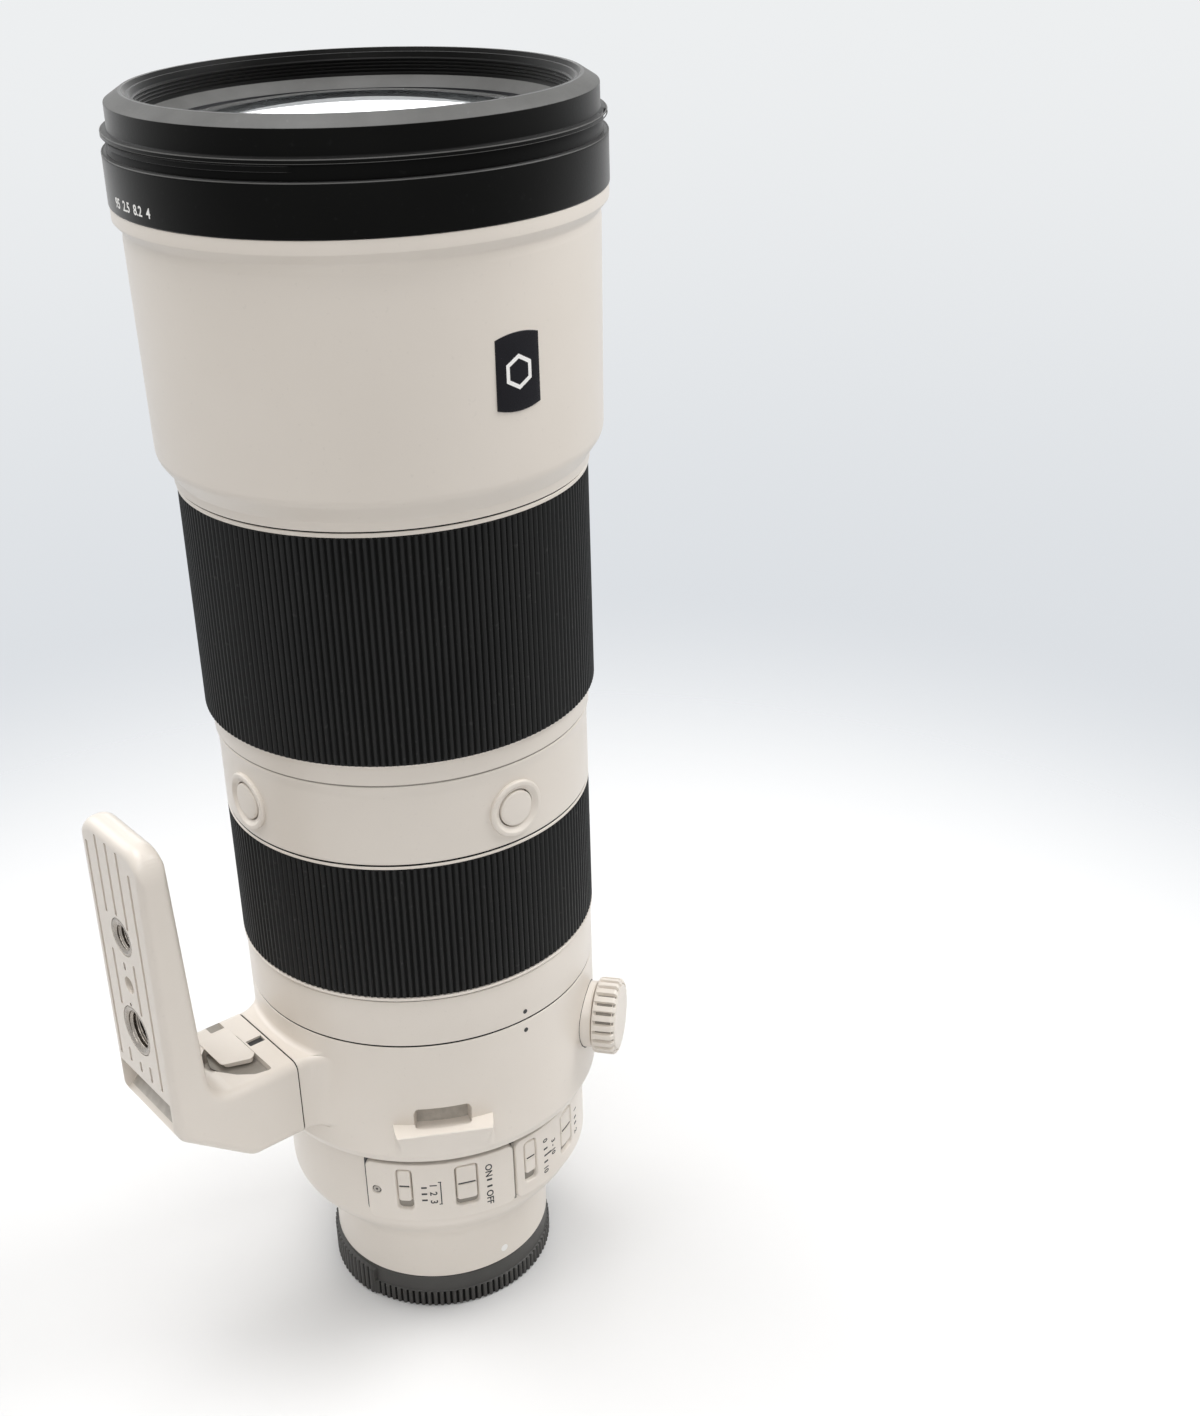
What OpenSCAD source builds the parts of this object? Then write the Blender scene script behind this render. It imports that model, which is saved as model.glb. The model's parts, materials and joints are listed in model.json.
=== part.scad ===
// Long zoom lens on its rear cap, front up, with its tripod collar and foot.
// The optical axis is Z. The foot points to -X, which is down when the lens is in use.

/* [Heights along the axis] */
// Rear cap below the mount flange
cap_h = 10.5; // [9:0.5:14]
// Plain neck above the mount flange
neck_h = 13.5; // [12:0.5:16]
// Flare from the neck to the rear barrel
flare_h = 16.5; // [14:0.5:20]
// Straight rear barrel that carries the switches
rear_h = 22; // [22:0.5:28]
// Tripod collar
collar_h = 39; // [36:0.5:46]
// Index ring in front of the collar
index_h = 13.6; // [8:0.2:20]
// Rubber of the focus ring
focus_grip_h = 37.1; // [28:0.1:46]
// Bare lip at each end of the focus ring
focus_lip = 1; // [0.6:0.1:2]
// Band between the focus ring and the zoom ring
mid_h = 21.7; // [19:0.1:28]
// Bare rear end of the zoom ring
zoom_tail_h = 5.8; // [3:0.1:9]
// Rubber of the zoom ring
zoom_grip_h = 56.6; // [53:0.2:70]
// Bare lip at the front of the zoom ring
zoom_lip = 1.2; // [0.6:0.1:2]
// White front barrel
front_h = 64.1; // [58:0.1:76]
// Black band round the front
band_h = 11.3; // [8:0.1:14]
// Hood ring with the filter thread
hood_h = 12.2; // [11:0.1:15]

/* [Rings and walls] */
// Outer radius of the fixed main tube
tube_r = 41.6; // [40:0.1:44]
// Wall of the main tube
tube_wall = 2.6; // [2:0.1:3]
// Wall of the tripod collar
collar_wall = 4.4; // [4:0.1:6]
// Wall of the index ring
index_wall = 4.7; // [4:0.1:6]
// Wall of the focus ring under its rubber
focus_wall = 3.4; // [2:0.1:5]
// Distance of the mid band's surface from the main tube
mid_stand = 5.2; // [4.8:0.1:7]
// Wall of the mid band
mid_wall = 1.9; // [1.4:0.1:2.2]
// Wall of the cam tube that the zoom ring turns
cam_wall = 2; // [1.5:0.1:3]
// Wall of the zoom ring under its rubber
zoom_wall = 3.6; // [2:0.1:5]
// Thickness of both rubber grips
grip_t = 1.5; // [1:0.1:2.5]
// Depth of the grooves in the rubber
groove_t = 0.5; // [0.3:0.05:0.7]
// Ribs round the zoom ring's rubber
zoom_ribs = 190; // [120:2:220]
// Ribs round the focus ring's rubber
focus_ribs = 176; // [120:2:200]
// Radius of the neck
neck_r = 30.5; // [30:0.1:33]
// Step in from the main tube to the rear barrel
rear_step = 0.8; // [0.4:0.1:1.2]
// Wall of the rear barrel
rear_wall = 2.2; // [1.8:0.1:2.6]
// Clearance between parts that turn or slide
run_gap = 0.3; // [0.25:0.05:0.4]
// Clearance between parts that are fixed together
seat_gap = 0.05; // [0.02:0.01:0.08]

/* [Front] */
// Radius of the filter thread
filter_r = 47.5; // [46.5:0.5:49]
// Length of the filter thread
filter_h = 4.6; // [3:0.1:5]
// Wall of the front lens cell outside the front glass
cell_wall = 3.2; // [2.4:0.1:4]
// Wall of the front barrel
front_wall = 2.75; // [2.2:0.05:3.5]
// Growth of the front barrel's radius towards the front
front_taper = 0.8; // [0:0.1:1.5]
// Wall of the black front band
band_wall = 2.7; // [2:0.1:3.5]
// Length of the front cell behind the front glass's seat
cell_tail = 46; // [40:1:50]
// Curve radius of the front glass's outer face
front_curve = 230; // [200:5:300]
// Thickness of the front glass on the axis
front_glass_t = 16; // [13:0.5:17]
// Width of the badge plate
badge_w = 11.7; // [8:0.1:16]
// Height of the badge plate
badge_h = 15.8; // [10:0.1:20]

/* [Rear and switches] */
// Rear cap's grip ribs
cap_ribs = 108; // [60:2:130]
// Height of the cap's ribbed band
cap_rib_h = 5.1; // [3:0.1:7]
// Throat radius of the mount's bayonet
throat_r = 23; // [22:0.1:24]
// Thickness of the mount flange
flange_t = 2.5; // [2:0.1:3.5]
// Thickness of the switch panels above the barrel
panel_t = 1.5; // [1.2:0.1:2]
// Height of the switch panels
panel_h = 20; // [17:0.5:20.5]
// Angle that each switch panel covers
panel_angle = 56.3; // [50:0.1:57]
// Height of the switch windows
window_h = 13.4; // [12.8:0.1:14]
// Width of the narrow switches' windows
narrow_w = 4.3; // [3.6:0.1:5]
// Width of the wide switches' windows
wide_w = 6.3; // [5.4:0.1:7]
// Length of the three-position knobs
narrow_knob_h = 10.4; // [8:0.1:10.6]
// Length of the two-position knobs
wide_knob_h = 11.1; // [9:0.1:11.3]

/* [Hold buttons] */
// Radius of the button's face
button_r = 4.6; // [3.5:0.1:5]
// Travel of the button
button_travel = 0.7; // [0.3:0.1:0.8]
// Radius of the raised rim round the button
bezel_r = 7.3; // [6.8:0.1:8]
// Height of the raised rim above the band
bezel_rise = 0.75; // [0.4:0.05:1]

/* [Collar and foot] */
// Half the width of the foot and its boss
foot_half_w = 15.4; // [13:0.1:17]
// Height of the boss above the collar's surface, up to the foot's seam
boss_stand = 3.3; // [2.8:0.1:6]
// Distance from the seam to the foot's outer face
foot_reach = 34.5; // [31:0.1:40]
// Thickness of the upright plate at its root
plate_t = 10.4; // [9.5:0.1:13]
// Thickness of the upright plate at its tip
plate_tip_t = 7.4; // [6.5:0.1:9]
// Height of the foot's arm
arm_h = 22; // [18:0.5:24]
// Height of the arm's underside above the collar's lower edge
arm_rise = 10.4; // [9:0.1:14]
// Length of the upright plate above the arm
plate_h = 74.6; // [66:0.2:84]
// Height of the quarter-inch thread above the arm
quarter_rise = 46; // [44:0.5:56]
// Height of the three-eighth-inch thread above the arm
eighth_rise = 18.7; // [17:0.1:22]
// Height of the anti-twist pin hole above the arm
pin_rise = 32.2; // [30:0.1:34]
// Radius of the quarter-inch tripod thread
quarter_r = 3.175; // [3.175:0.005:3.2]
// Radius of the three-eighth-inch tripod thread
eighth_r = 4.7625; // [4.7625:0.0025:4.8]
// Radius of the anti-twist pin hole
pin_hole_r = 2.3; // [2:0.1:2.8]
// Depth of the tripod threads
thread_depth = 6; // [5:0.1:6.5]
// Radius of the lock knob's grip
knob_r = 10.3; // [9:0.1:12]
// Thickness of the lock knob's grip
knob_t = 5.6; // [4:0.1:8]
// Angle of the lock knob round the axis
knob_angle = -51.4; // [-56:0.1:-46]
// Width of the strap slots
strap_w = 14.2; // [10:0.2:16]

/* [Inner works] */
// Turn of the zoom ring in degrees
zoom_turn = 70; // [50:1:80]
// Travel of the zoom carriage for that turn
zoom_travel = 34; // [28:0.5:36]
// Radius of the cam follower pins
follower_r = 1.6; // [1.2:0.1:1.8]
// Wall of the zoom carriage round its glass
carriage_wall = 8.8; // [6:0.1:11]
// Radius of the focus and rear glasses
focus_glass_r = 17.9; // [15:0.1:19]
// Travel of the stabiliser each way
shake = 1; // [0.5:0.1:1.2]
// Radius of the focus guide rods
rod_r = 1.5; // [1.2:0.1:2]
// Distance of the guide rods' centres from the main tube's bore
rod_inset = 7; // [6:0.1:7.4]
// Blades of the iris
blade_count = 11; // [7:1:11]

/* [Hidden] */
$fn = 180;
eps = 0.02;

// Colours
white_paint = [0.86, 0.84, 0.81];
black_paint = [0.09, 0.09, 0.1];
rubber = [0.06, 0.06, 0.065];
dark_metal = [0.2, 0.2, 0.21];
bright_metal = [0.75, 0.75, 0.77];
glass = [0.6, 0.75, 0.8, 0.4];

// Heights of the rings, from the cap's base upwards
z_flange = cap_h;
z_neck = z_flange + neck_h;
z_flare = z_neck + flare_h;
z_collar = z_flare + rear_h;
z_collar_top = z_collar + collar_h;
z_index = z_collar_top + run_gap;
z_index_top = z_index + index_h;
z_focus = z_index_top + run_gap;
z_focus_grip = z_focus + focus_lip;
z_focus_top = z_focus_grip + focus_grip_h + focus_lip;
z_mid = z_focus_top + run_gap;
z_mid_top = z_mid + mid_h;
z_zoom = z_mid_top + run_gap;
z_zoom_grip = z_zoom + zoom_tail_h;
z_zoom_top = z_zoom_grip + zoom_grip_h + zoom_lip;
z_front = z_zoom_top + run_gap;
z_band = z_front + front_h;
z_hood = z_band + band_h;
z_top = z_hood + hood_h;

// Radii of the rings, from the main tube outwards
tube_in = tube_r - tube_wall;
bearing_r = tube_r + run_gap;
collar_r = bearing_r + collar_wall;
index_r = tube_r + index_wall;
focus_r = bearing_r + focus_wall;
focus_grip_r = focus_r + grip_t;
mid_r = tube_r + mid_stand;
cam_r = bearing_r + cam_wall;
zoom_in = cam_r + seat_gap;
zoom_r = zoom_in + zoom_wall;
zoom_grip_r = zoom_r + grip_t;
rear_r = tube_r - rear_step;
rear_in = rear_r - rear_wall;
panel_r = rear_r + panel_t;

// Front sizes
glass_r = filter_r - 0.6;
cell_in = glass_r + 2 * seat_gap;
cell_r = cell_in + cell_wall;
front_bore = cell_r + seat_gap;
front_r = front_bore + front_wall;
front_top_r = front_r + front_taper;
band_in = front_r + seat_gap;
band_r = band_in + band_wall;
hood_lip_r = band_r - 0.15;
hood_wall_r = band_r - 1.75;
hood_groove_r = band_r - 1.15;
ledge_h = 1.3;
rim_h = 2;
z_thread = z_top - rim_h - filter_h;
z_ledge = z_thread - ledge_h;
z_cell_top = z_ledge - 0.6;
z_glass = z_cell_top + 0.9;
back_curve = 300;
seat_in = glass_r - 1.7;
z_seat = z_glass - front_glass_t + cap_sag(seat_in, back_curve) - seat_gap;
z_cell = z_seat - cell_tail;
front_plate_t = 3.6;
front_neck_h = 2.6;
front_slope_h = 4.6;
front_neck_r = zoom_grip_r + 0.5;
front_lip_h = 2.3;
front_flare_h = 3.9;
front_lip_r = band_r - 0.2;
tube_flange_r = tube_r + 4.9;
tube_flange_t = 2.4;
z_plate = z_front + front_plate_t;
flange_screw_place = tube_r + 2.6;
flange_screw_r = 1.1;
flange_screw_count = 6;
badge_t = 0.9;
badge_rise = 0.25;
badge_place = -88.1;
z_badge = z_front + 24.3;
badge_surface = front_r + front_taper * (z_badge - z_front) / front_h;

// Rear sizes
cap_r = neck_r - 0.1;
cap_rib_r = cap_r + 0.5;
cap_floor = 1.6;
cap_in = cap_r - 1.9;
cap_lug_angle = 42;
bayonet_in = throat_r - 1.5;
tab_r = throat_r + 1.8;
tab_root = 0.15;
tab_t = 1.6;
tube_drop = 4.8;
tab_angle = 46;
mount_r = neck_r - 1.5;
mount_screw_r = 0.9;
mount_screw_place = throat_r + 3.7;
mount_screw_head = 1.65;
z_mount_top = z_flange + flange_t;
rear_plate_t = 2.4;
flare_power = 1.8;
spigot_in = tube_in - seat_gap - 2.5;
spigot_h = 6;
z_spigot_slope = z_collar - 6;
collar_lip_r = bearing_r + 0.7;
collar_lip_h = 1;
board_t = 1.6;
board_rib_t = 2;
board_rib_in = rear_in - 5;
z_board = z_flare + board_rib_t + seat_gap;
panel_mid_angle = -94;
panel_seam = 0.5;
z_panel_top = z_collar - collar_lip_h - run_gap - 0.2;
z_panel = z_panel_top - panel_h;
z_window_top = z_panel_top - 2.4;
stem_w = 1.8;
stem_h = 4;
module_depth = 5;
panel_screw_place = 52.3;
panel_screw_r = 1.2;
mode_angle = -135.7;
stabiliser_angle = -113;
range_angle = -86.8;
focus_mode_angle = -65.3;

// Hold button sizes
button_angles = [-90, 180, 90];
z_button = z_mid + 9.2;
button_hole_r = button_r + run_gap;
bezel_neck_r = button_hole_r + 1.1;
button_sink = 0.15;
button_face = mid_r + button_travel - button_sink;
button_foot_r = button_hole_r + 0.8;

// Collar and foot sizes
foot_seam = collar_r + boss_stand;
foot_face = foot_seam + foot_reach;
z_arm = z_collar + arm_rise;
z_arm_top = z_arm + arm_h;
z_plate_top = z_arm_top + plate_h;
boss_fillet = 8;
rail_depth = 4;
rail_root = 6;
rail_tip = 8;
rail_gap = 0.3;
rail_stop = 3;
groove_w = 1.5;
groove_depth = 0.7;
groove_pitch = 5.4;
z_quarter = z_arm_top + quarter_rise;
z_eighth = z_arm_top + eighth_rise;
z_pin_hole = z_arm_top + pin_rise;
insert_flange = 1.9;
insert_wall = 1.5;
heel_wall = 2.2;
lever_recess = 2.6;
lever_t = 1.6;
lever_pivot = [-(foot_seam + 10.3), 5.5];
lever_r = 4.2;
lever_reach = 10.8;
lever_swing_room = 3.6;
recess_r = lever_reach + 7.4;
latch_r = 2;
latch_fit = 0.08;
latch_depth = 12;
knob_boss_r = knob_r - 1.2;
knob_start = collar_r + 2 + run_gap;
knob_face_t = 0.6;
lock_screw_r = 3;
lock_fit = 0.08;
shoe_r = 4.4;
shoe_t = 1.2;
z_knob = z_collar + 21.8;
strap_angle = 120;
z_strap = z_collar + 14.5;
strap_slot_h = 4.6;
strap_out = 4.4;
strap_pad_w = 26;
strap_wall = 1.6;
strap_gap = 3.6;

// Inner works
z_follower = z_zoom_grip + 11.4;
carriage_h = 12;
carriage_r = tube_in - run_gap;
zoom_glass_r = carriage_r - carriage_wall;
follower_angles = [60, 180, 300];
follower_room = follower_r + run_gap;
cam_rate = zoom_turn / zoom_travel;
cam_slope = atan(zoom_travel / (cam_r * zoom_turn * PI / 180));
cam_half_angle = follower_room / sin(cam_slope) / cam_r * 180 / PI;
z_iris = z_zoom + 1;
iris_h = z_follower - carriage_h / 2 - run_gap - z_iris - 1;
iris_in = 24;
blade_t = 0.15;
blade_pitch = 0.25;
z_stabiliser = z_mid + 3;
stabiliser_floor = 2.5;
stabiliser_h = 14;
stabiliser_plate = 2.5;
holder_wall = 3;
stab_glass_r = 14.9;
holder_r = stab_glass_r + seat_gap + holder_wall;
frame_in = holder_r + shake + run_gap;
frame_r = frame_in + 11;
z_rear_plate = z_collar + 33;
rear_plate_h = 4;
z_rods = z_rear_plate + rear_plate_h;
focus_ring_h = 8;
rod_place = tube_in - rod_inset;
z_focus_lens = (z_rods + z_stabiliser - focus_ring_h) / 2;
rod_fit = 0.08;
lug_r = rod_r + 2.2;
magnet_w = 8;
magnet_t = 4;
coil_wall = 1.6;
coil_room = 0.5;
rear_cell_h = 30;
rear_seat = 2;
second_glass_t = 10;
zoom_glass_t = 3.4;
stab_glass_t = 4;
focus_glass_t = 2.4;
rear_glass_t = 7;

// Depth of a dome of the given curve radius, out to radius r
function cap_sag(r, curve) = curve - sqrt(curve * curve - r * r);
// Point at radius r and angle a
function polar(r, a) = [r * cos(a), r * sin(a)];
// Outline of a ribbed ring: each rib rises from the root, runs flat and falls back
function rib_outline(n, root, tip) =
    [for (i = [0 : n - 1], k = [[0.05, root], [0.2, tip], [0.62, tip], [0.77, root]])
        polar(k[1], 360 * (i + k[0]) / n)];
// Points of an arc about a centre
function arc(centre, r, a0, a1, steps) =
    [for (i = [0 : steps]) centre + polar(r, a0 + (a1 - a0) * i / steps)];
// Place a list of [x, y] points on the other side of the x axis, in reverse order
function mirrored(points) = [for (i = [len(points) - 1 : -1 : 0]) [points[i][0], -points[i][1]]];

// Ring of rectangular section
module tube(r_in, r_out, z0, z1) {
    rotate_extrude() translate([r_in, z0]) square([r_out - r_in, z1 - z0]);
}
// Part of such a ring, between two angles
module sector(r_in, r_out, z0, z1, a0, a1) {
    rotate([0, 0, a0]) rotate_extrude(angle = a1 - a0) translate([r_in, z0]) square([r_out - r_in, z1 - z0]);
}
// Solid turned from a half outline of [radius, height] points
module turned(points) {
    rotate_extrude() polygon(points);
}
// Children stand on the axis with their own Z pointing outwards at the angle, and their X downwards
module outward(angle, z) {
    rotate([0, 0, angle]) translate([0, 0, z]) rotate([0, 90, 0]) children();
}
// Block that stands outwards at an angle, from one radius to another
module outward_block(angle, r0, r1, width, z0, z1) {
    rotate([0, 0, angle]) translate([r0, -width / 2, z0]) cube([r1 - r0, width, z1 - z0]);
}
// Round glass of radius r between two vertices. A positive curve bulges out, a negative one is hollow
module glass_disc(r, zb, zt, low_curve, top_curve) {
    low = low_curve > 0 ? zb : zb - cap_sag(r, -low_curve);
    high = top_curve > 0 ? zt : zt + cap_sag(r, -top_curve);
    difference() {
        intersection() {
            translate([0, 0, low]) cylinder(r = r, h = high - low);
            dome(zt - top_curve, top_curve, r, low, high);
            dome(zb + low_curve, low_curve, r, low, high);
        }
        hollow(zt - top_curve, top_curve);
        hollow(zb + low_curve, low_curve);
    }
}
// Ball for a bulging face, or a plain disc where the face is hollow
module dome(z, curve, r, low, high) {
    if (curve > 0)
        translate([0, 0, z]) sphere(r = curve);
    else
        translate([0, 0, low]) cylinder(r = 2 * r, h = high - low);
}
module hollow(z, curve) {
    if (curve < 0) translate([0, 0, z]) sphere(r = -curve);
}

module rear_cap() {
    color(black_paint) {
        tube(cap_in, cap_r, 0, z_flange - run_gap);
        cylinder(r = cap_r, h = cap_floor);
        difference() {
            linear_extrude(cap_rib_h) polygon(rib_outline(cap_ribs, cap_r + 0.05, cap_rib_r));
            translate([0, 0, -1]) cylinder(r = cap_in + 0.5, h = cap_rib_h + 2);
        }
        for (i = [0 : 2])
            sector(throat_r + run_gap, cap_in + 0.3, z_flange - tube_drop + tab_t + run_gap, z_flange - 1,
                120 * i - cap_lug_angle / 2, 120 * i + cap_lug_angle / 2);
    }
}

module bayonet_mount() {
    low = z_flange - tube_drop;
    color(bright_metal) difference() {
        turned([[bayonet_in, low], [tab_r, low], [tab_r, low + tab_t], [throat_r, low + tab_t],
            [throat_r, z_flange], [mount_r, z_flange], [mount_r, z_mount_top], [bayonet_in, z_mount_top]]);
        for (i = [0 : 2])
            sector(throat_r + tab_root, tab_r + 1, low - 1, low + tab_t + tab_root,
                120 * i + tab_angle / 2, 120 * i + 120 - tab_angle / 2);
        mount_screw_holes(seat_gap);
    }
}

module mount_screw_holes(room) {
    for (i = [0 : 3])
        rotate([0, 0, 45 + 90 * i]) translate([mount_screw_place, 0, z_flange]) {
            translate([0, 0, -eps]) cylinder(r = mount_screw_head + room, h = 0.9 + eps + room);
            cylinder(r = mount_screw_r + room, h = flange_t + rear_plate_t + 1);
        }
}

module mount_screws() {
    color(bright_metal) for (i = [0 : 3])
        rotate([0, 0, 45 + 90 * i]) translate([mount_screw_place, 0, z_flange]) difference() {
            union() {
                translate([0, 0, seat_gap]) cylinder(r = mount_screw_head, h = 0.85);
                translate([0, 0, 0.5]) cylinder(r = mount_screw_r, h = flange_t + rear_plate_t - 0.6);
            }
            for (a = [0, 90])
                rotate([0, 0, a]) translate([-1, -0.2, -1]) cube([2, 0.4, 1.45]);
        }
}

module contact_block() {
    color(black_paint) sector(bayonet_in - 4.4, bayonet_in - seat_gap, z_flange - tube_drop + 0.4,
        z_mount_top, 40, 140);
}

module contact_pins() {
    color([0.85, 0.68, 0.3]) for (i = [0 : 9])
        rotate([0, 0, 54 + 8 * i]) translate([bayonet_in - 2.2, 0, z_flange - tube_drop - 0.1])
            cylinder(r = 0.55, h = 0.5);
}

module rear_barrel() {
    flare = [for (i = [0 : 14]) let(t = i / 14)
        [neck_r + (rear_r - neck_r) * pow(sin(90 * t), flare_power), z_neck + flare_h * t]];
    flare_in = [for (p = [for (i = [len(flare) - 1 : -1 : 0]) flare[i]]) [p[0] - rear_wall, p[1]]];
    color(white_paint) difference() {
        turned(concat(
            [[bayonet_in, z_mount_top], [mount_r + seat_gap, z_mount_top],
             [mount_r + seat_gap, z_flange], [neck_r, z_flange]],
            flare,
            [[rear_r, z_collar - run_gap - collar_lip_h],
             [collar_lip_r, z_collar - run_gap - collar_lip_h],
             [collar_lip_r, z_collar - run_gap],
             [tube_in - seat_gap, z_collar - run_gap],
             [tube_in - seat_gap, z_collar + spigot_h],
             [spigot_in, z_collar + spigot_h],
             [spigot_in, z_collar - 4],
             [rear_in, z_spigot_slope],
             [rear_in, z_flare + board_rib_t],
             [board_rib_in, z_flare + board_rib_t],
             [board_rib_in, z_flare]],
            flare_in,
            [[neck_r - rear_wall, z_mount_top + rear_plate_t], [bayonet_in, z_mount_top + rear_plate_t]]));
        mount_screw_holes(seat_gap);
        for (a = [mode_angle, stabiliser_angle, range_angle, focus_mode_angle])
            outward_block(a, rear_in - 2, rear_r + 2, stem_w + 2 * run_gap,
                z_window_top - window_h + run_gap, z_window_top - run_gap);
        for (side = [-1, 1])
            outward(panel_mid_angle + side * panel_screw_place, z_panel + panel_h / 2)
                cylinder(r = panel_screw_r * 0.6 + seat_gap, h = rear_r + 2);
    }
}

module main_board() {
    color([0.1, 0.3, 0.18]) tube(24, rear_in - seat_gap - 0.2, z_board, z_board + board_t);
    color(black_paint) for (a = [20, 100, 170])
        outward_block(a, 26, 33, 7, z_board + board_t - eps, z_board + board_t + 1.2);
}

// Slide switch body behind a window, hollowed for the knob's stem
module switch_body(angle) {
    intersection() {
        difference() {
            outward_block(angle, rear_in - module_depth, rear_in + 1, stem_w + 5,
                z_window_top - window_h, z_spigot_slope - seat_gap);
            outward_block(angle, rear_in - 2, rear_in + 2, stem_w + 2 * run_gap,
                z_window_top - window_h + run_gap, z_window_top - run_gap);
        }
        cylinder(r = rear_in - seat_gap, h = z_collar);
    }
}

module switch_modules() {
    color(dark_metal) for (a = [mode_angle, stabiliser_angle, range_angle, focus_mode_angle])
        switch_body(a);
}

// Curved panel with two switch windows and a screw at its outer end
module switch_panel(a0, a1, windows, screw_angle) {
    color(white_paint) difference() {
        sector(rear_r + seat_gap, panel_r, z_panel, z_panel_top, a0, a1);
        for (w = windows)
            outward_block(w[0], rear_r - 2, panel_r + 2, w[1], z_window_top - window_h, z_window_top);
        outward(screw_angle, z_panel + panel_h / 2) {
            cylinder(r = panel_screw_r * 0.6 + seat_gap, h = panel_r + 2);
            translate([0, 0, panel_r - 0.6]) cylinder(r = panel_screw_r + seat_gap, h = 2);
        }
    }
}

module left_switch_panel() {
    switch_panel(panel_mid_angle - panel_angle, panel_mid_angle - panel_seam / 2,
        [[mode_angle, narrow_w], [stabiliser_angle, wide_w]], panel_mid_angle - panel_screw_place);
}

module right_switch_panel() {
    switch_panel(panel_mid_angle + panel_seam / 2, panel_mid_angle + panel_angle,
        [[range_angle, narrow_w], [focus_mode_angle, wide_w]], panel_mid_angle + panel_screw_place);
}

module panel_screws() {
    color(bright_metal) for (side = [-1, 1])
        outward(panel_mid_angle + side * panel_screw_place, z_panel + panel_h / 2) difference() {
            union() {
                translate([0, 0, rear_in + 0.4]) cylinder(r = panel_screw_r * 0.6, h = panel_t + 1.4);
                translate([0, 0, panel_r - 0.55]) cylinder(r = panel_screw_r, h = 0.45);
            }
            for (a = [0, 90])
                rotate([0, 0, a]) translate([-0.8, -0.15, panel_r - 0.35]) cube([1.6, 0.3, 1]);
        }
}

// Knob of a slide switch: a pad in the window with a raised line, and a stem through the barrel wall
module slide_knob(angle, width, knob_h) {
    z_knob_top = z_window_top - run_gap;
    knob_w = width - 2 * run_gap;
    color(white_paint) intersection() {
        union() {
            outward_block(angle, rear_r + run_gap, panel_r + 2, knob_w, z_knob_top - knob_h, z_knob_top);
            outward_block(angle, rear_in - 1.2, rear_r + 1, stem_w,
                z_knob_top - knob_h / 2 - stem_h / 2, z_knob_top - knob_h / 2 + stem_h / 2);
        }
        union() {
            cylinder(r = panel_r - 0.1, h = z_collar);
            translate([0, 0, z_knob_top - knob_h / 2 - 0.4]) cylinder(r = panel_r + 0.35, h = 0.8);
        }
    }
}

module mode_switch() slide_knob(mode_angle, narrow_w, narrow_knob_h);
module stabiliser_switch() slide_knob(stabiliser_angle, wide_w, wide_knob_h);
module range_switch() slide_knob(range_angle, narrow_w, narrow_knob_h);
module focus_mode_switch() slide_knob(focus_mode_angle, wide_w, wide_knob_h);

module main_tube() {
    color(dark_metal) difference() {
        turned([
            [tube_in, z_collar - run_gap + seat_gap], [tube_r, z_collar - run_gap + seat_gap],
            [tube_r, z_plate + seat_gap], [tube_flange_r, z_plate + seat_gap],
            [tube_flange_r, z_plate + tube_flange_t], [tube_in, z_plate + tube_flange_t]]);
        for (a = follower_angles)
            outward_block(a, tube_in - 2, tube_r + 2, 2 * follower_room,
                z_follower - follower_room - 0.4, z_follower + zoom_travel + follower_room + 0.4);
        flange_screw_holes();
    }
}

module flange_screw_holes() {
    for (i = [0 : flange_screw_count - 1])
        rotate([0, 0, 30 + 360 / flange_screw_count * i]) translate([flange_screw_place, 0, z_front - 1])
            cylinder(r = flange_screw_r + seat_gap, h = front_plate_t + tube_flange_t + 2);
}

module flange_screws() {
    color(bright_metal) for (i = [0 : flange_screw_count - 1])
        rotate([0, 0, 30 + 360 / flange_screw_count * i]) translate([flange_screw_place, 0, z_front + 0.6]) {
            cylinder(r = flange_screw_r, h = front_plate_t + tube_flange_t - 0.4);
            translate([0, 0, front_plate_t + tube_flange_t - 0.6 + seat_gap])
                cylinder(r = 1.8 * flange_screw_r, h = 1.2);
        }
}

module index_ring() {
    color(white_paint) turned([
        [tube_r + seat_gap, z_index], [index_r - 0.3, z_index], [index_r, z_index + 0.3],
        [index_r, z_index_top - 0.3], [index_r - 0.3, z_index_top], [tube_r + seat_gap, z_index_top]]);
}

module mid_band() {
    mid_in = mid_r - mid_wall;
    color(white_paint) difference() {
        turned([
            [tube_r + seat_gap, z_mid], [mid_r - 0.2, z_mid], [mid_r, z_mid + 0.2],
            [mid_r, z_mid_top - 2.4], [zoom_r - 0.1, z_mid_top],
            [tube_r + seat_gap, z_mid_top], [tube_r + seat_gap, z_mid_top - 2.2],
            [mid_in, z_mid_top - 2.6], [mid_in, z_mid + 1.2], [tube_r + seat_gap, z_mid + 1.2]]);
        for (a = button_angles)
            outward(a, z_button) cylinder(r = bezel_neck_r + seat_gap, h = mid_r + 5);
    }
}

module button_bezels() {
    mid_in = mid_r - mid_wall;
    color(white_paint) for (a = button_angles)
        outward(a, z_button) difference() {
            union() {
                translate([0, 0, mid_in]) cylinder(r = bezel_neck_r, h = mid_wall);
                difference() {
                    translate([0, 0, mid_in]) cylinder(r = bezel_r, h = mid_wall + bezel_rise);
                    rotate([0, 90, 0]) translate([0, 0, -bezel_r - 1])
                        cylinder(r = mid_r + eps, h = 2 * bezel_r + 2);
                }
            }
            cylinder(r = button_hole_r, h = mid_r + 5);
        }
}

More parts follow.
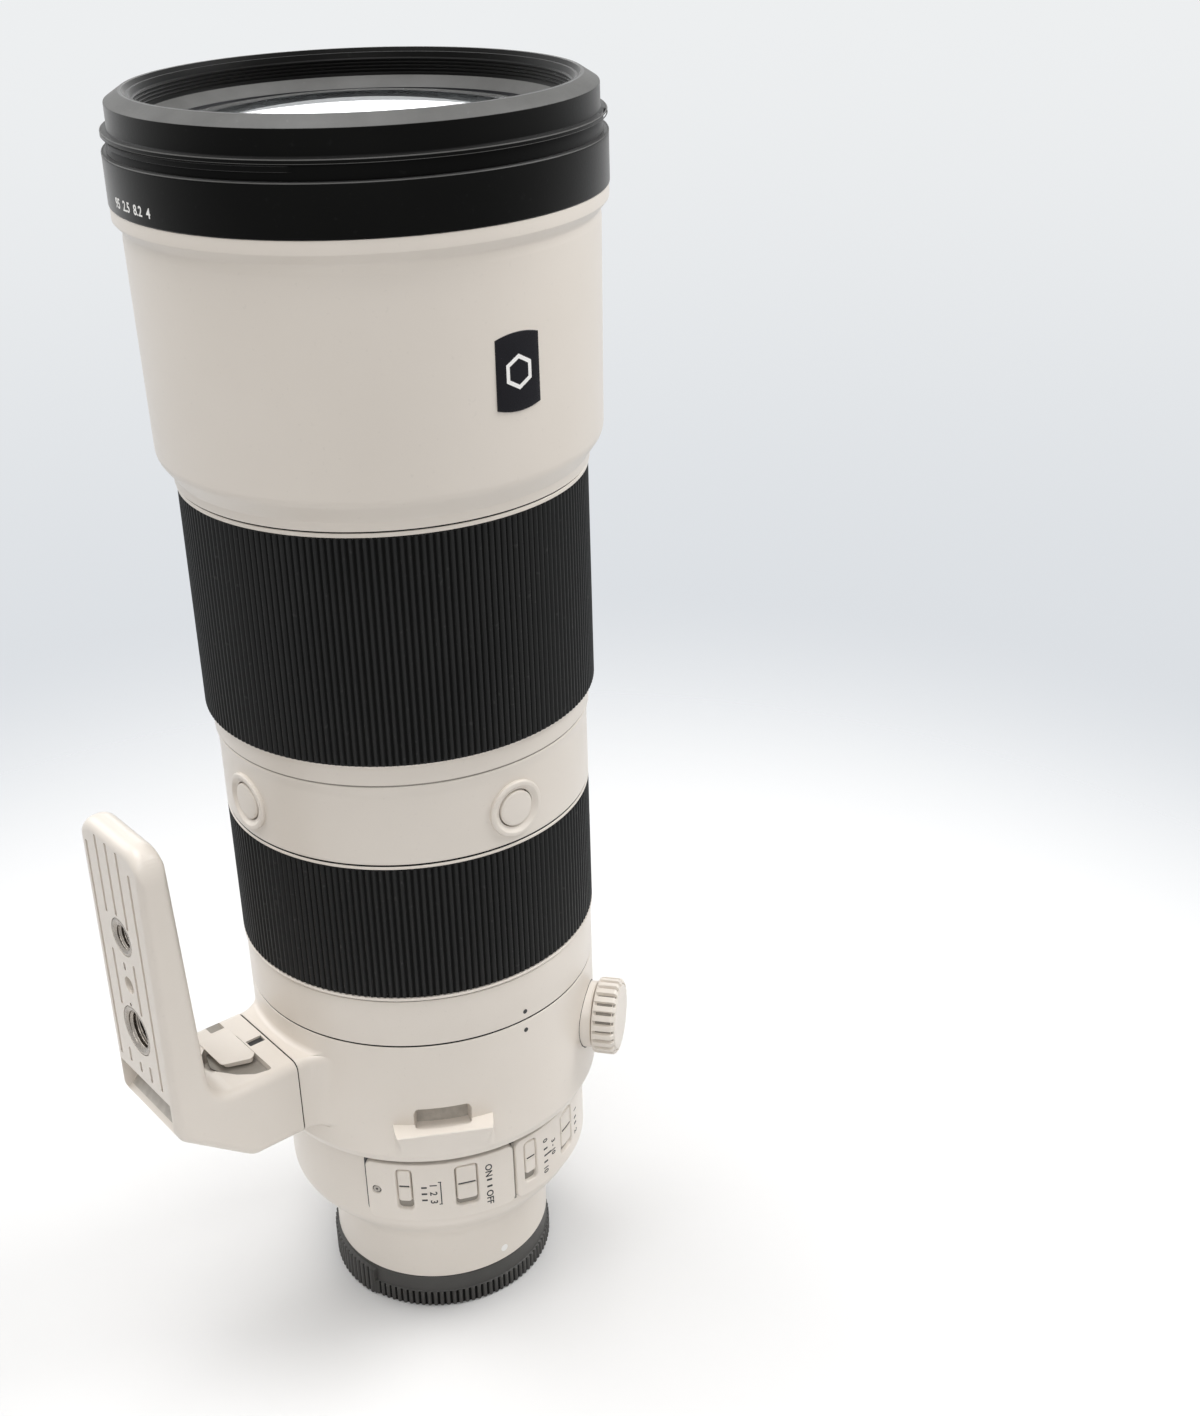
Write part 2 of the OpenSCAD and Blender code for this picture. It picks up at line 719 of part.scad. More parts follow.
// Round push button with a wider foot that keeps it in the band
module hold_button(angle) {
    foot_top = mid_r - mid_wall - run_gap - button_foot_r * button_foot_r / 2 / mid_r;
    color(white_paint) outward(angle, z_button) {
        translate([0, 0, foot_top - 0.7]) cylinder(r = button_foot_r, h = 0.7);
        translate([0, 0, foot_top - eps]) cylinder(r = button_r, h = button_face - foot_top - 0.3 + eps);
        translate([0, 0, button_face - 0.3 - eps]) cylinder(r1 = button_r, r2 = button_r - 0.3, h = 0.3 + eps);
    }
}

module left_hold_button() hold_button(button_angles[0]);
module lower_hold_button() hold_button(button_angles[1]);
module right_hold_button() hold_button(button_angles[2]);

module front_barrel() {
    color(white_paint) difference() {
        turned([
            [tube_r + seat_gap, z_front], [front_neck_r, z_front], [front_neck_r, z_front + front_neck_h],
            [front_r, z_front + front_neck_h + front_slope_h],
            [front_top_r, z_band - front_lip_h - front_flare_h], [front_lip_r, z_band - front_lip_h],
            [front_lip_r, z_band], [front_r, z_band], [front_r, z_hood], [front_bore, z_hood],
            [front_bore, z_plate + 5], [tube_flange_r + 1, z_plate + 2], [tube_flange_r + 1, z_plate],
            [tube_r + seat_gap, z_plate]]);
        flange_screw_holes();
        badge_solid(seat_gap);
    }
}

// Plate bent to the barrel, grown by the given room for its pocket
module badge_solid(room) {
    half = badge_w / 2 / badge_surface * 180 / PI + room / badge_surface * 180 / PI;
    sector(badge_surface + badge_rise - badge_t - room, badge_surface + badge_rise + (room > 0 ? 1 : 0),
        z_badge - room, z_badge + badge_h + room, badge_place - half, badge_place + half);
}

module badge_plate() {
    color(black_paint) badge_solid(0);
}

module front_band() {
    color(black_paint) turned([
        [band_in, z_band + seat_gap], [band_r - 0.2, z_band + seat_gap], [band_r, z_band + 0.3],
        [band_r, z_hood - 0.5], [band_r - 0.4, z_hood - seat_gap], [band_in, z_hood - seat_gap]]);
}

module hood_ring() {
    groove_h = 3.9;
    lip_t = 1.1;
    color(black_paint) {
        turned([
            [front_bore, z_hood], [hood_groove_r, z_hood], [hood_groove_r, z_hood + groove_h],
            [hood_lip_r, z_hood + groove_h], [hood_lip_r, z_hood + groove_h + lip_t],
            [hood_wall_r, z_hood + groove_h + lip_t + 0.4], [hood_wall_r, z_top - 2.1],
            [filter_r + 3, z_top], [filter_r + 2.2, z_top], [filter_r, z_top - rim_h],
            [filter_r, z_thread], [filter_r - 1.2, z_ledge], [front_bore, z_ledge]]);
        for (i = [0 : 2])
            sector(hood_groove_r - 0.5, hood_lip_r - 0.1, z_hood + 2, z_hood + 3, 135 + 120 * i, 192 + 120 * i);
    }
}

module front_cell() {
    second_r = seat_in - 0.1;
    z_second = z_seat - 19;
    color(black_paint) turned([
        [second_r - 2.1, z_cell], [cell_r, z_cell], [cell_r, z_cell_top], [cell_in, z_cell_top],
        [cell_in, z_seat], [seat_in, z_seat], [seat_in, z_second], [second_r - 2.1, z_second]]);
}

module front_retainer() {
    retainer_in = seat_in - 0.2;
    z_ring = z_glass - cap_sag(retainer_in, front_curve) + seat_gap;
    color(black_paint) tube(retainer_in, cell_in - seat_gap, z_ring, z_cell_top - 0.2);
}

module front_element() {
    color(glass) glass_disc(glass_r, z_glass - front_glass_t, z_glass, back_curve, front_curve);
}

module second_element() {
    second_r = seat_in - seat_gap;
    second_curve = 180;
    second_hollow = 400;
    z_low = z_seat - 19 + cap_sag(second_r, second_hollow) + seat_gap;
    color(glass) glass_disc(second_r, z_low, z_low + second_glass_t, -second_hollow, second_curve);
}

module zoom_sleeve() {
    color(white_paint) turned([
        [zoom_in, z_zoom], [zoom_r - 0.2, z_zoom], [zoom_r, z_zoom + 0.2], [zoom_r, z_zoom_top - zoom_lip],
        [zoom_grip_r + 0.2, z_zoom_top - zoom_lip], [zoom_grip_r + 0.2, z_zoom_top - 0.3],
        [zoom_grip_r - 0.1, z_zoom_top], [zoom_in, z_zoom_top]]);
}

// Ribbed rubber sleeve
module grip(r_in, r_out, z0, z1, ribs) {
    color(rubber) difference() {
        translate([0, 0, z0]) linear_extrude(z1 - z0) polygon(rib_outline(ribs, r_out - groove_t, r_out));
        translate([0, 0, z0 - 1]) cylinder(r = r_in, h = z1 - z0 + 2);
    }
}

module zoom_grip() {
    grip(zoom_r + seat_gap, zoom_grip_r, z_zoom_grip, z_zoom_grip + zoom_grip_h - seat_gap, zoom_ribs);
}

module cam_tube() {
    slot_over = follower_room + 0.4;
    slot_h = zoom_travel + 2 * slot_over;
    color(dark_metal) difference() {
        tube(bearing_r, cam_r, z_zoom + 1, z_zoom_top - 0.5);
        for (a = follower_angles)
            rotate([0, 0, a + slot_over * cam_rate]) translate([0, 0, z_follower - slot_over])
                linear_extrude(slot_h, twist = slot_h * cam_rate, slices = 32, $fn = 4) polygon([
                    polar(bearing_r - 1, -cam_half_angle), polar(cam_r + 1, -cam_half_angle),
                    polar(cam_r + 1, cam_half_angle), polar(bearing_r - 1, cam_half_angle)]);
    }
}

module zoom_carriage() {
    color(black_paint) difference() {
        union() {
            tube(zoom_glass_r + seat_gap, carriage_r, z_follower - carriage_h / 2, z_follower + carriage_h / 2);
            tube(zoom_glass_r - 1.5, zoom_glass_r + 1, z_follower - carriage_h / 2,
                z_follower - carriage_h / 2 + 1.2);
        }
        for (a = follower_angles)
            outward(a, z_follower) cylinder(r = follower_r + seat_gap, h = carriage_r + 2);
    }
}

module zoom_pins() {
    color(bright_metal) for (a = follower_angles)
        outward(a, z_follower) translate([0, 0, zoom_glass_r + 2])
            cylinder(r = follower_r, h = cam_r - run_gap - zoom_glass_r - 2);
}

module zoom_lens() {
    lens_curve = 150;
    z_low = z_follower - carriage_h / 2 + 1.2 + seat_gap + cap_sag(zoom_glass_r, lens_curve);
    color(glass) glass_disc(zoom_glass_r, z_low, z_low + zoom_glass_t, -lens_curve, -lens_curve);
}

module focus_sleeve() {
    color(white_paint) turned([
        [bearing_r, z_focus], [focus_grip_r - 0.2, z_focus], [focus_grip_r, z_focus + 0.2],
        [focus_grip_r, z_focus_grip], [focus_r, z_focus_grip], [focus_r, z_focus_top - focus_lip],
        [focus_grip_r, z_focus_top - focus_lip], [focus_grip_r, z_focus_top - 0.2],
        [focus_grip_r - 0.2, z_focus_top], [bearing_r, z_focus_top]]);
}

module focus_grip() {
    grip(focus_r + seat_gap, focus_grip_r, z_focus_grip + seat_gap,
        z_focus_grip + focus_grip_h - seat_gap, focus_ribs);
}

module iris_housing() {
    color(black_paint) difference() {
        tube(iris_in + 1, tube_in - seat_gap, z_iris, z_iris + iris_h);
        translate([0, 0, z_iris + 1.5])
            cylinder(r = tube_in - 2, h = blade_count * blade_pitch + 0.3);
    }
}

// Iris leaves at full aperture, each a little higher than the last
module iris_blades() {
    color(dark_metal) for (i = [0 : blade_count - 1])
        sector(iris_in, tube_in - 2 - seat_gap, z_iris + 1.55 + i * blade_pitch,
            z_iris + 1.55 + i * blade_pitch + blade_t, 360 / blade_count * i, 360 / blade_count * i + 52);
}

module stabiliser_base() {
    wall_in = tube_in - seat_gap - 2;
    color(black_paint) {
        tube(frame_in + 1, tube_in - seat_gap, z_stabiliser, z_stabiliser + stabiliser_floor);
        tube(wall_in, tube_in - seat_gap, z_stabiliser, z_stabiliser + stabiliser_h);
    }
}

module stabiliser_frame() {
    z0 = z_stabiliser + stabiliser_floor + run_gap;
    color(dark_metal) tube(frame_in, frame_r, z0, z0 + stabiliser_plate);
}

module stabiliser_holder() {
    z0 = z_stabiliser + stabiliser_floor + 2 * run_gap + stabiliser_plate;
    color(black_paint) {
        tube(stab_glass_r + seat_gap, holder_r, z0 - stabiliser_plate - 2, z0 + 2);
        tube(holder_r - 1, frame_in + 4, z0, z0 + 1.5);
        tube(stab_glass_r - 1, holder_r - 1, z0 - stabiliser_plate - 2, z0 - stabiliser_plate - 1.2);
    }
}

module stabiliser_lens() {
    lens_curve = 60;
    z_low = z_stabiliser + stabiliser_floor + 2 * run_gap - 1.2 + seat_gap;
    color(glass) glass_disc(stab_glass_r, z_low - cap_sag(stab_glass_r - 1, lens_curve), z_low + stab_glass_t,
        lens_curve, lens_curve);
}

module rod_places() {
    for (a = [0, 180]) rotate([0, 0, a]) translate([rod_place, 0, 0]) children();
}

module guide_rods() {
    color(bright_metal) rod_places()
        translate([0, 0, z_rods - 2]) cylinder(r = rod_r, h = z_stabiliser - z_rods + 2 - seat_gap);
}

module magnet_places() {
    for (a = [90, 270]) rotate([0, 0, a]) translate([rod_place, 0, 0]) children();
}

module focus_magnets() {
    color(bright_metal) magnet_places()
        translate([-magnet_t / 2, -magnet_w / 2, z_rods + seat_gap])
            cube([magnet_t, magnet_w, z_stabiliser - z_rods - 2 * seat_gap]);
}

module focus_carriage() {
    ring_r = rod_place - magnet_t / 2 - coil_room - coil_wall;
    color(black_paint) difference() {
        union() {
            tube(focus_glass_r + seat_gap, ring_r, z_focus_lens, z_focus_lens + focus_ring_h);
            tube(focus_glass_r - 1.2, focus_glass_r + 1, z_focus_lens, z_focus_lens + 1);
            rod_places() {
                translate([0, 0, z_focus_lens]) cylinder(r = lug_r, h = focus_ring_h);
                translate([ring_r - rod_place - 2, -lug_r / 2, z_focus_lens])
                    cube([rod_place - ring_r + 2, lug_r, focus_ring_h]);
            }
        }
        rod_places() translate([0, 0, z_focus_lens - 1]) cylinder(r = rod_r + rod_fit, h = focus_ring_h + 2);
        magnet_places() translate([-magnet_t / 2 - coil_room - coil_wall - seat_gap,
            -magnet_w / 2 - coil_room - coil_wall - seat_gap, z_focus_lens - 1])
            cube([ring_r, magnet_w + 2 * (coil_room + coil_wall + seat_gap), focus_ring_h + 2]);
    }
}

module focus_coils() {
    color([0.72, 0.42, 0.2]) magnet_places() difference() {
        translate([-magnet_t / 2 - coil_room - coil_wall, -magnet_w / 2 - coil_room - coil_wall, z_focus_lens])
            cube([magnet_t + 2 * (coil_room + coil_wall), magnet_w + 2 * (coil_room + coil_wall),
                focus_ring_h]);
        translate([-magnet_t / 2 - coil_room, -magnet_w / 2 - coil_room, z_focus_lens - 1])
            cube([magnet_t + 2 * coil_room, magnet_w + 2 * coil_room, focus_ring_h + 2]);
    }
}

module focus_lens() {
    lens_curve = 70;
    z_low = z_focus_lens + 1 + seat_gap + cap_sag(focus_glass_r, lens_curve);
    color(glass) glass_disc(focus_glass_r, z_low, z_low + focus_glass_t, -lens_curve, -lens_curve);
}

module rear_cell() {
    color(black_paint) difference() {
        union() {
            tube(focus_glass_r + seat_gap, tube_in - seat_gap, z_rear_plate, z_rods);
            tube(focus_glass_r + seat_gap, focus_glass_r + 3, z_rear_plate - rear_cell_h, z_rods);
            tube(focus_glass_r - rear_seat, focus_glass_r + 1, z_rear_plate - rear_cell_h,
                z_rear_plate - rear_cell_h + rear_seat);
        }
        rod_places() translate([0, 0, z_rods - 2 - seat_gap]) cylinder(r = rod_r + seat_gap, h = 10);
    }
}

module rear_lens() {
    lens_curve = 80;
    z_low = z_rear_plate - rear_cell_h + rear_seat + seat_gap;
    color(glass) glass_disc(focus_glass_r, z_low - cap_sag(focus_glass_r - rear_seat, lens_curve),
        z_low + rear_glass_t, lens_curve, lens_curve);
}

// Plan of the boss: square at the seam, with a round fillet on to the ring each side
function boss_plan() =
    let(ring = collar_r - 0.4, hw = foot_half_w - 0.4,
        cx = -sqrt(pow(ring + boss_fillet, 2) - pow(hw + boss_fillet, 2)),
        cy = hw + boss_fillet,
        side = concat([[-foot_seam, hw]], arc([cx, cy], boss_fillet, 270, 360 + atan2(-cy, -cx), 8)))
    concat(side, [[-bearing_r + 2, 12], [-bearing_r + 2, -12]], mirrored(side));

// Plan of the rail that the foot slides on, or of its groove when grown
function rail_plan(room) = [
    [-foot_seam + 2, rail_root + room], [-foot_seam, rail_root + room],
    [-foot_seam - rail_depth - room, rail_tip + room], [-foot_seam - rail_depth - room, -rail_tip - room],
    [-foot_seam, -rail_root - room], [-foot_seam + 2, -rail_root - room]];

// Strap lug: a shelf that stands out of the collar and falls back to it below
module strap_pad() {
    rotate([90, 0, 0]) translate([0, 0, -strap_pad_w / 2]) linear_extrude(strap_pad_w) polygon([
        [collar_r - 2, z_strap], [collar_r + strap_out, z_strap], [collar_r + strap_out - 0.5, z_strap - 4],
        [collar_r - 0.6, z_strap - 9.5], [collar_r - 2, z_strap - 9.5]]);
}

module strap_hole() {
    translate([bearing_r + strap_wall, -strap_w / 2, z_collar - 1])
        cube([strap_gap, strap_w, z_strap + strap_slot_h - z_collar + 1]);
}

module collar_ring() {
    color(white_paint) difference() {
        union() {
            turned([
                [bearing_r, z_collar], [bearing_r + 1.2, z_collar], [collar_r - 1.7, z_collar + 1],
                [collar_r - 0.8, z_collar + 3], [collar_r - 0.3, z_collar + 6], [collar_r, z_collar + 10.5],
                [collar_r, z_collar_top - 0.3], [collar_r - 0.3, z_collar_top], [bearing_r, z_collar_top]]);
            translate([0, 0, z_arm]) linear_extrude(arm_h) polygon(boss_plan());
            translate([0, 0, z_arm + 1]) linear_extrude(arm_h - rail_stop - 1 - run_gap)
                polygon(rail_plan(0));
            for (side = [-1, 1]) rotate([0, 0, side * strap_angle]) strap_pad();
            outward(knob_angle, z_knob) translate([0, 0, bearing_r + 1])
                cylinder(r = knob_boss_r, h = collar_r + 1 - bearing_r);
        }
        translate([0, 0, z_collar - 1]) cylinder(r = bearing_r, h = collar_h + 2);
        for (side = [-1, 1]) rotate([0, 0, side * strap_angle]) strap_hole();
        outward(knob_angle, z_knob) {
            cylinder(r = lock_screw_r + lock_fit, h = collar_r + 10);
            cylinder(r = shoe_r + 2 * seat_gap, h = bearing_r + shoe_t + run_gap);
        }
    }
}

module clamp_shoe() {
    color(dark_metal) difference() {
        outward(knob_angle, z_knob) translate([0, 0, bearing_r - 2]) cylinder(r = shoe_r, h = shoe_t + 2);
        translate([0, 0, z_collar]) cylinder(r = bearing_r, h = collar_h);
    }
}

// Fluted knob on a screw that presses the shoe on to the main tube
module lock_knob() {
    flutes = 20;
    color(white_paint) outward(knob_angle, z_knob) {
        translate([0, 0, bearing_r + shoe_t + run_gap]) cylinder(r = lock_screw_r, h = knob_start - bearing_r);
        difference() {
            translate([0, 0, knob_start]) cylinder(r = knob_r, h = knob_t);
            for (i = [0 : flutes - 1])
                rotate([0, 0, 360 / flutes * i]) translate([knob_r + 0.5, 0, knob_start + 0.8])
                    cylinder(r = 1.1, h = knob_t);
        }
        translate([0, 0, knob_start + knob_t - eps]) cylinder(r = knob_r - 1, h = knob_face_t);
    }
}

module knob_cap() {
    color([0.8, 0.79, 0.77]) outward(knob_angle, z_knob)
        translate([0, 0, knob_start + knob_t + knob_face_t - eps])
            cylinder(r1 = knob_r - 1.2, r2 = knob_r - 1.6, h = 0.7);
}

// Side outline of the foot in [distance from the axis, height]
function foot_side() =
    let(face = foot_face, root = face - plate_t, tip = face - plate_tip_t,
        low = z_arm, top = z_arm_top, high = z_plate_top)
    concat(
        [[foot_seam + rail_gap, low], [foot_seam + 15, low]],
        [[face - 1.2, low + 14.2], [face, low + 17]],
        arc([face - 3, high - 3], 3, 0, 90, 5),
        arc([tip + 3, high - 3], 3, 90, 180, 5),
        arc([root - 7, top + 7], 7, 360, 270, 6),
        [[foot_seam + rail_gap, top]]);

// End outline of the foot, seen along the arm, in [across, height]
function foot_end() =
    let(w = foot_half_w, corner = 7, low_corner = 3)
    concat(
        arc([w - low_corner, z_arm + low_corner], low_corner, 270, 360, 5),
        arc([w - corner, z_plate_top - corner], corner, 0, 90, 8),
        arc([-w + corner, z_plate_top - corner], corner, 90, 180, 8),
        arc([-w + low_corner, z_arm + low_corner], low_corner, 180, 270, 5));

// Grooves in the outer face, which stop short of the thread inserts
module face_grooves() {
    z_low = z_arm_top + 6;
    z_high = z_plate_top - 8;
    for (i = [-2 : 2])
        for (span = abs(i) == 2 ? [[z_low, z_high]]
                : i == 0 ? [[z_low - 4, z_low], [z_quarter + 8, z_high + 3]]
                : [[z_low - 4, z_low], [z_eighth + 9, z_high + 3]])
            translate([-foot_face - 1, i * groove_pitch - groove_w / 2 + 1, span[0]])
                cube([groove_depth + 1, groove_w, span[1] - span[0]]);
}

module tripod_foot() {
    color(white_paint) difference() {
        intersection() {
            rotate([90, 0, 180]) translate([0, 0, -foot_half_w]) linear_extrude(2 * foot_half_w)
                polygon(foot_side());
            rotate([90, 0, 90]) translate([0, 0, -foot_face - 5]) linear_extrude(foot_face)
                polygon(foot_end());
        }
        translate([0, 0, z_arm - 1]) linear_extrude(arm_h - rail_stop + 1) polygon(rail_plan(rail_gap));
        face_grooves();
        for (t = [[z_quarter, quarter_r], [z_eighth, eighth_r]])
            outward(180, t[0]) {
                translate([0, 0, foot_face - thread_depth - 1])
                    cylinder(r = t[1] + insert_wall + seat_gap, h = 2 * thread_depth);
                translate([0, 0, foot_face - 1])
                    cylinder(r = t[1] + insert_flange + seat_gap, h = thread_depth);
            }
        outward(180, z_pin_hole) translate([0, 0, foot_face - 5]) cylinder(r = pin_hole_r, h = 10);
        heel_pocket();
        lever_pocket();
        translate([lever_pivot[0], lever_pivot[1], z_arm_top - latch_depth - 0.3])
            cylinder(r = latch_r + latch_fit, h = 20);
    }
}

// Hollow scooped out of the heel, between two side walls
module heel_pocket() {
    half = foot_half_w - heel_wall;
    rotate([90, 0, 180]) translate([0, 0, -half]) linear_extrude(2 * half) polygon([
        [foot_face + 1, z_arm_top + 3], [foot_face - 7, z_arm_top + 3], [foot_face - 7, z_arm_top + 1],
        [foot_face + 1, z_arm_top - 7.6]]);
}

// Sunk floor that the lever swings over
module lever_pocket() {
    translate([lever_pivot[0], lever_pivot[1], z_arm_top - lever_recess]) {
        cylinder(r = lever_r + run_gap, h = 10);
        intersection() {
            cylinder(r = recess_r, h = 10);
            translate([-lever_r - lever_swing_room, -recess_r, 0])
                cube([2 * lever_r + lever_swing_room + 0.5, recess_r + lever_r + run_gap, 10]);
        }
    }
}

module thread_inserts() {
    color(bright_metal) for (t = [[z_quarter, quarter_r], [z_eighth, eighth_r]])
        outward(180, t[0]) difference() {
            union() {
                translate([0, 0, foot_face - thread_depth])
                    cylinder(r = t[1] + insert_wall, h = thread_depth - 0.1);
                translate([0, 0, foot_face - 1 + seat_gap])
                    cylinder(r = t[1] + insert_flange, h = 0.85);
            }
            cylinder(r = t[1], h = 2 * foot_face);
        }
}

module latch_lever() {
    color(white_paint) translate([lever_pivot[0], lever_pivot[1], z_arm_top - lever_t + 0.2])
        linear_extrude(lever_t) {
            circle(r = lever_r);
            polygon([[-lever_r, 0], [-lever_r, -lever_reach + 3.5], [-lever_r + 1.5, -lever_reach + 2],
                [lever_r - 2, 0.5 - lever_reach], [lever_r, -lever_reach + 2], [lever_r, 0]]);
        }
}

module latch_pin() {
    color(bright_metal) translate([lever_pivot[0], lever_pivot[1], z_arm_top - latch_depth])
        cylinder(r = latch_r, h = latch_depth - lever_t + 0.2);
}

rear_cap();
bayonet_mount();
mount_screws();
contact_block();
contact_pins();
rear_barrel();
main_board();
switch_modules();
left_switch_panel();
right_switch_panel();
panel_screws();
mode_switch();
stabiliser_switch();
range_switch();
focus_mode_switch();
main_tube();
index_ring();
mid_band();
button_bezels();
left_hold_button();
lower_hold_button();
right_hold_button();
front_barrel();
flange_screws();
badge_plate();
front_band();
hood_ring();
front_cell();
front_retainer();
front_element();
second_element();
zoom_sleeve();
zoom_grip();
cam_tube();
zoom_carriage();
zoom_pins();
zoom_lens();
focus_sleeve();
focus_grip();
iris_housing();
iris_blades();
stabiliser_base();
stabiliser_frame();
stabiliser_holder();
stabiliser_lens();
guide_rods();
focus_magnets();
focus_carriage();
focus_coils();
focus_lens();
rear_cell();
rear_lens();
collar_ring();
clamp_shoe();
lock_knob();
knob_cap();
tripod_foot();
thread_inserts();
latch_lever();
latch_pin();
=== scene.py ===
import json
import math

import bmesh
import bpy
import numpy as np
from mathutils import Matrix, Vector


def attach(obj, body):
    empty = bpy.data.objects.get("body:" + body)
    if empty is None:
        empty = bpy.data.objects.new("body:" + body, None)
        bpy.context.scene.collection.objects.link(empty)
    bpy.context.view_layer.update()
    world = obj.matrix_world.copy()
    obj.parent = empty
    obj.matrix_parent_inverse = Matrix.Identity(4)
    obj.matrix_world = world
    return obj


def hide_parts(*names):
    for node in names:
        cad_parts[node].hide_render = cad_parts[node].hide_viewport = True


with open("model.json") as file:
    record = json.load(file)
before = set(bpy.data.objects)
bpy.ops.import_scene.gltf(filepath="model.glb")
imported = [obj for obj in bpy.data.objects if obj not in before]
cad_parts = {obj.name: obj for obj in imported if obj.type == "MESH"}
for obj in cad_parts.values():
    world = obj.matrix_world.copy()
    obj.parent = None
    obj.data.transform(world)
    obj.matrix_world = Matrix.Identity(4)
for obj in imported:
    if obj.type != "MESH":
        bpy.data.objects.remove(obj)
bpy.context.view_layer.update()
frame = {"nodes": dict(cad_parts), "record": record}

mm = 0.001
tau = 2 * math.pi
scene = bpy.context.scene
print("frame loaded:", len(frame["nodes"]), "nodes")

# Camera at the photograph's view: the eye in metres, and the ways right and up in the picture
view = {"eye": (-0.2296, -0.3645, 0.3860), "right": (0.7703, -0.6373, -0.0241), "up": (0.3015, 0.3306, 0.8943),
        "lens": 47.37, "sensor": 36, "near": 0.01}
cameraData = bpy.data.cameras.new("photoCamera")
cameraData.lens, cameraData.sensor_width, cameraData.clip_start = view["lens"], view["sensor"], view["near"]
camera = bpy.data.objects.new("photoCamera", cameraData)
scene.collection.objects.link(camera)
right = Vector(view["right"]).normalized()
up = (Vector(view["up"]) - right * right.dot(Vector(view["up"]))).normalized()
turn = Matrix((right, up, right.cross(up))).transposed().to_4x4()
camera.matrix_world = Matrix.Translation(Vector(view["eye"])) @ turn
scene.camera = camera
scene.view_settings.view_transform = "Standard"
print("camera placed")


# A socket of a shader, with the sums that the materials need
class Wire:
    def __init__(self, tree, socket=None):
        self.tree = tree
        self.socket = socket

    # Any node: its settings are set first, then values or links go to its sockets
    def make(self, kind, settings=None, inputs=None, out=0):
        node = self.tree.nodes.new(kind)
        for key, value in (settings or {}).items():
            setattr(node, key, value)
        for key, value in (inputs or {}).items():
            if isinstance(value, Wire):
                self.tree.links.new(value.socket, node.inputs[key])
            else:
                node.inputs[key].default_value = value
        return Wire(self.tree, node.outputs[out])

    def math(self, operation, first, second=0.0):
        return self.make("ShaderNodeMath", {"operation": operation}, {0: first, 1: second})

    def __add__(self, other): return self.math("ADD", self, other)
    def __radd__(self, other): return self.math("ADD", other, self)
    def __sub__(self, other): return self.math("SUBTRACT", self, other)
    def __mul__(self, other): return self.math("MULTIPLY", self, other)

    # Two colours mixed by a factor
    def blendColour(self, factor, first, second):
        return self.make("ShaderNodeMix", {"data_type": "RGBA"}, {0: factor, 6: first, 7: second}, out=2)

    # Soft cloud of the given size in millimetres, from 0 to 1
    def cloud(self, coords, size, detail):
        return self.make("ShaderNodeTexNoise", None, {"Vector": coords, "Scale": 1 / (size * mm), "Detail": detail})

    # Part of a value between two levels, stretched to 0 to 1
    def between(self, value, low, high):
        return self.make("ShaderNodeMapRange", {"interpolation_type": "SMOOTHSTEP"}, {
            "Value": value, "From Min": low, "From Max": high})

    # Bump from a height, with its depth in millimetres
    def bump(self, height, strength, depth):
        return self.make("ShaderNodeBump", None, {"Strength": strength, "Distance": depth * mm, "Height": height})


def rgba(colour):
    return (*colour, 1.0)


# Empty material, kept under its name: gives its tree as a wire, the principled shader and the Object coordinates
finishes = {}


def newFinish(name):
    made = finishes[name] = bpy.data.materials.new(name)
    made.use_nodes = True
    wire = Wire(made.node_tree)
    return wire, made.node_tree.nodes["Principled BSDF"], wire.make("ShaderNodeTexCoord", out=3)


def feed(wire, shader, links, values):
    for key, value in links.items():
        wire.tree.links.new(value.socket, shader.inputs[key])
    for key, value in values.items():
        shader.inputs[key].default_value = value


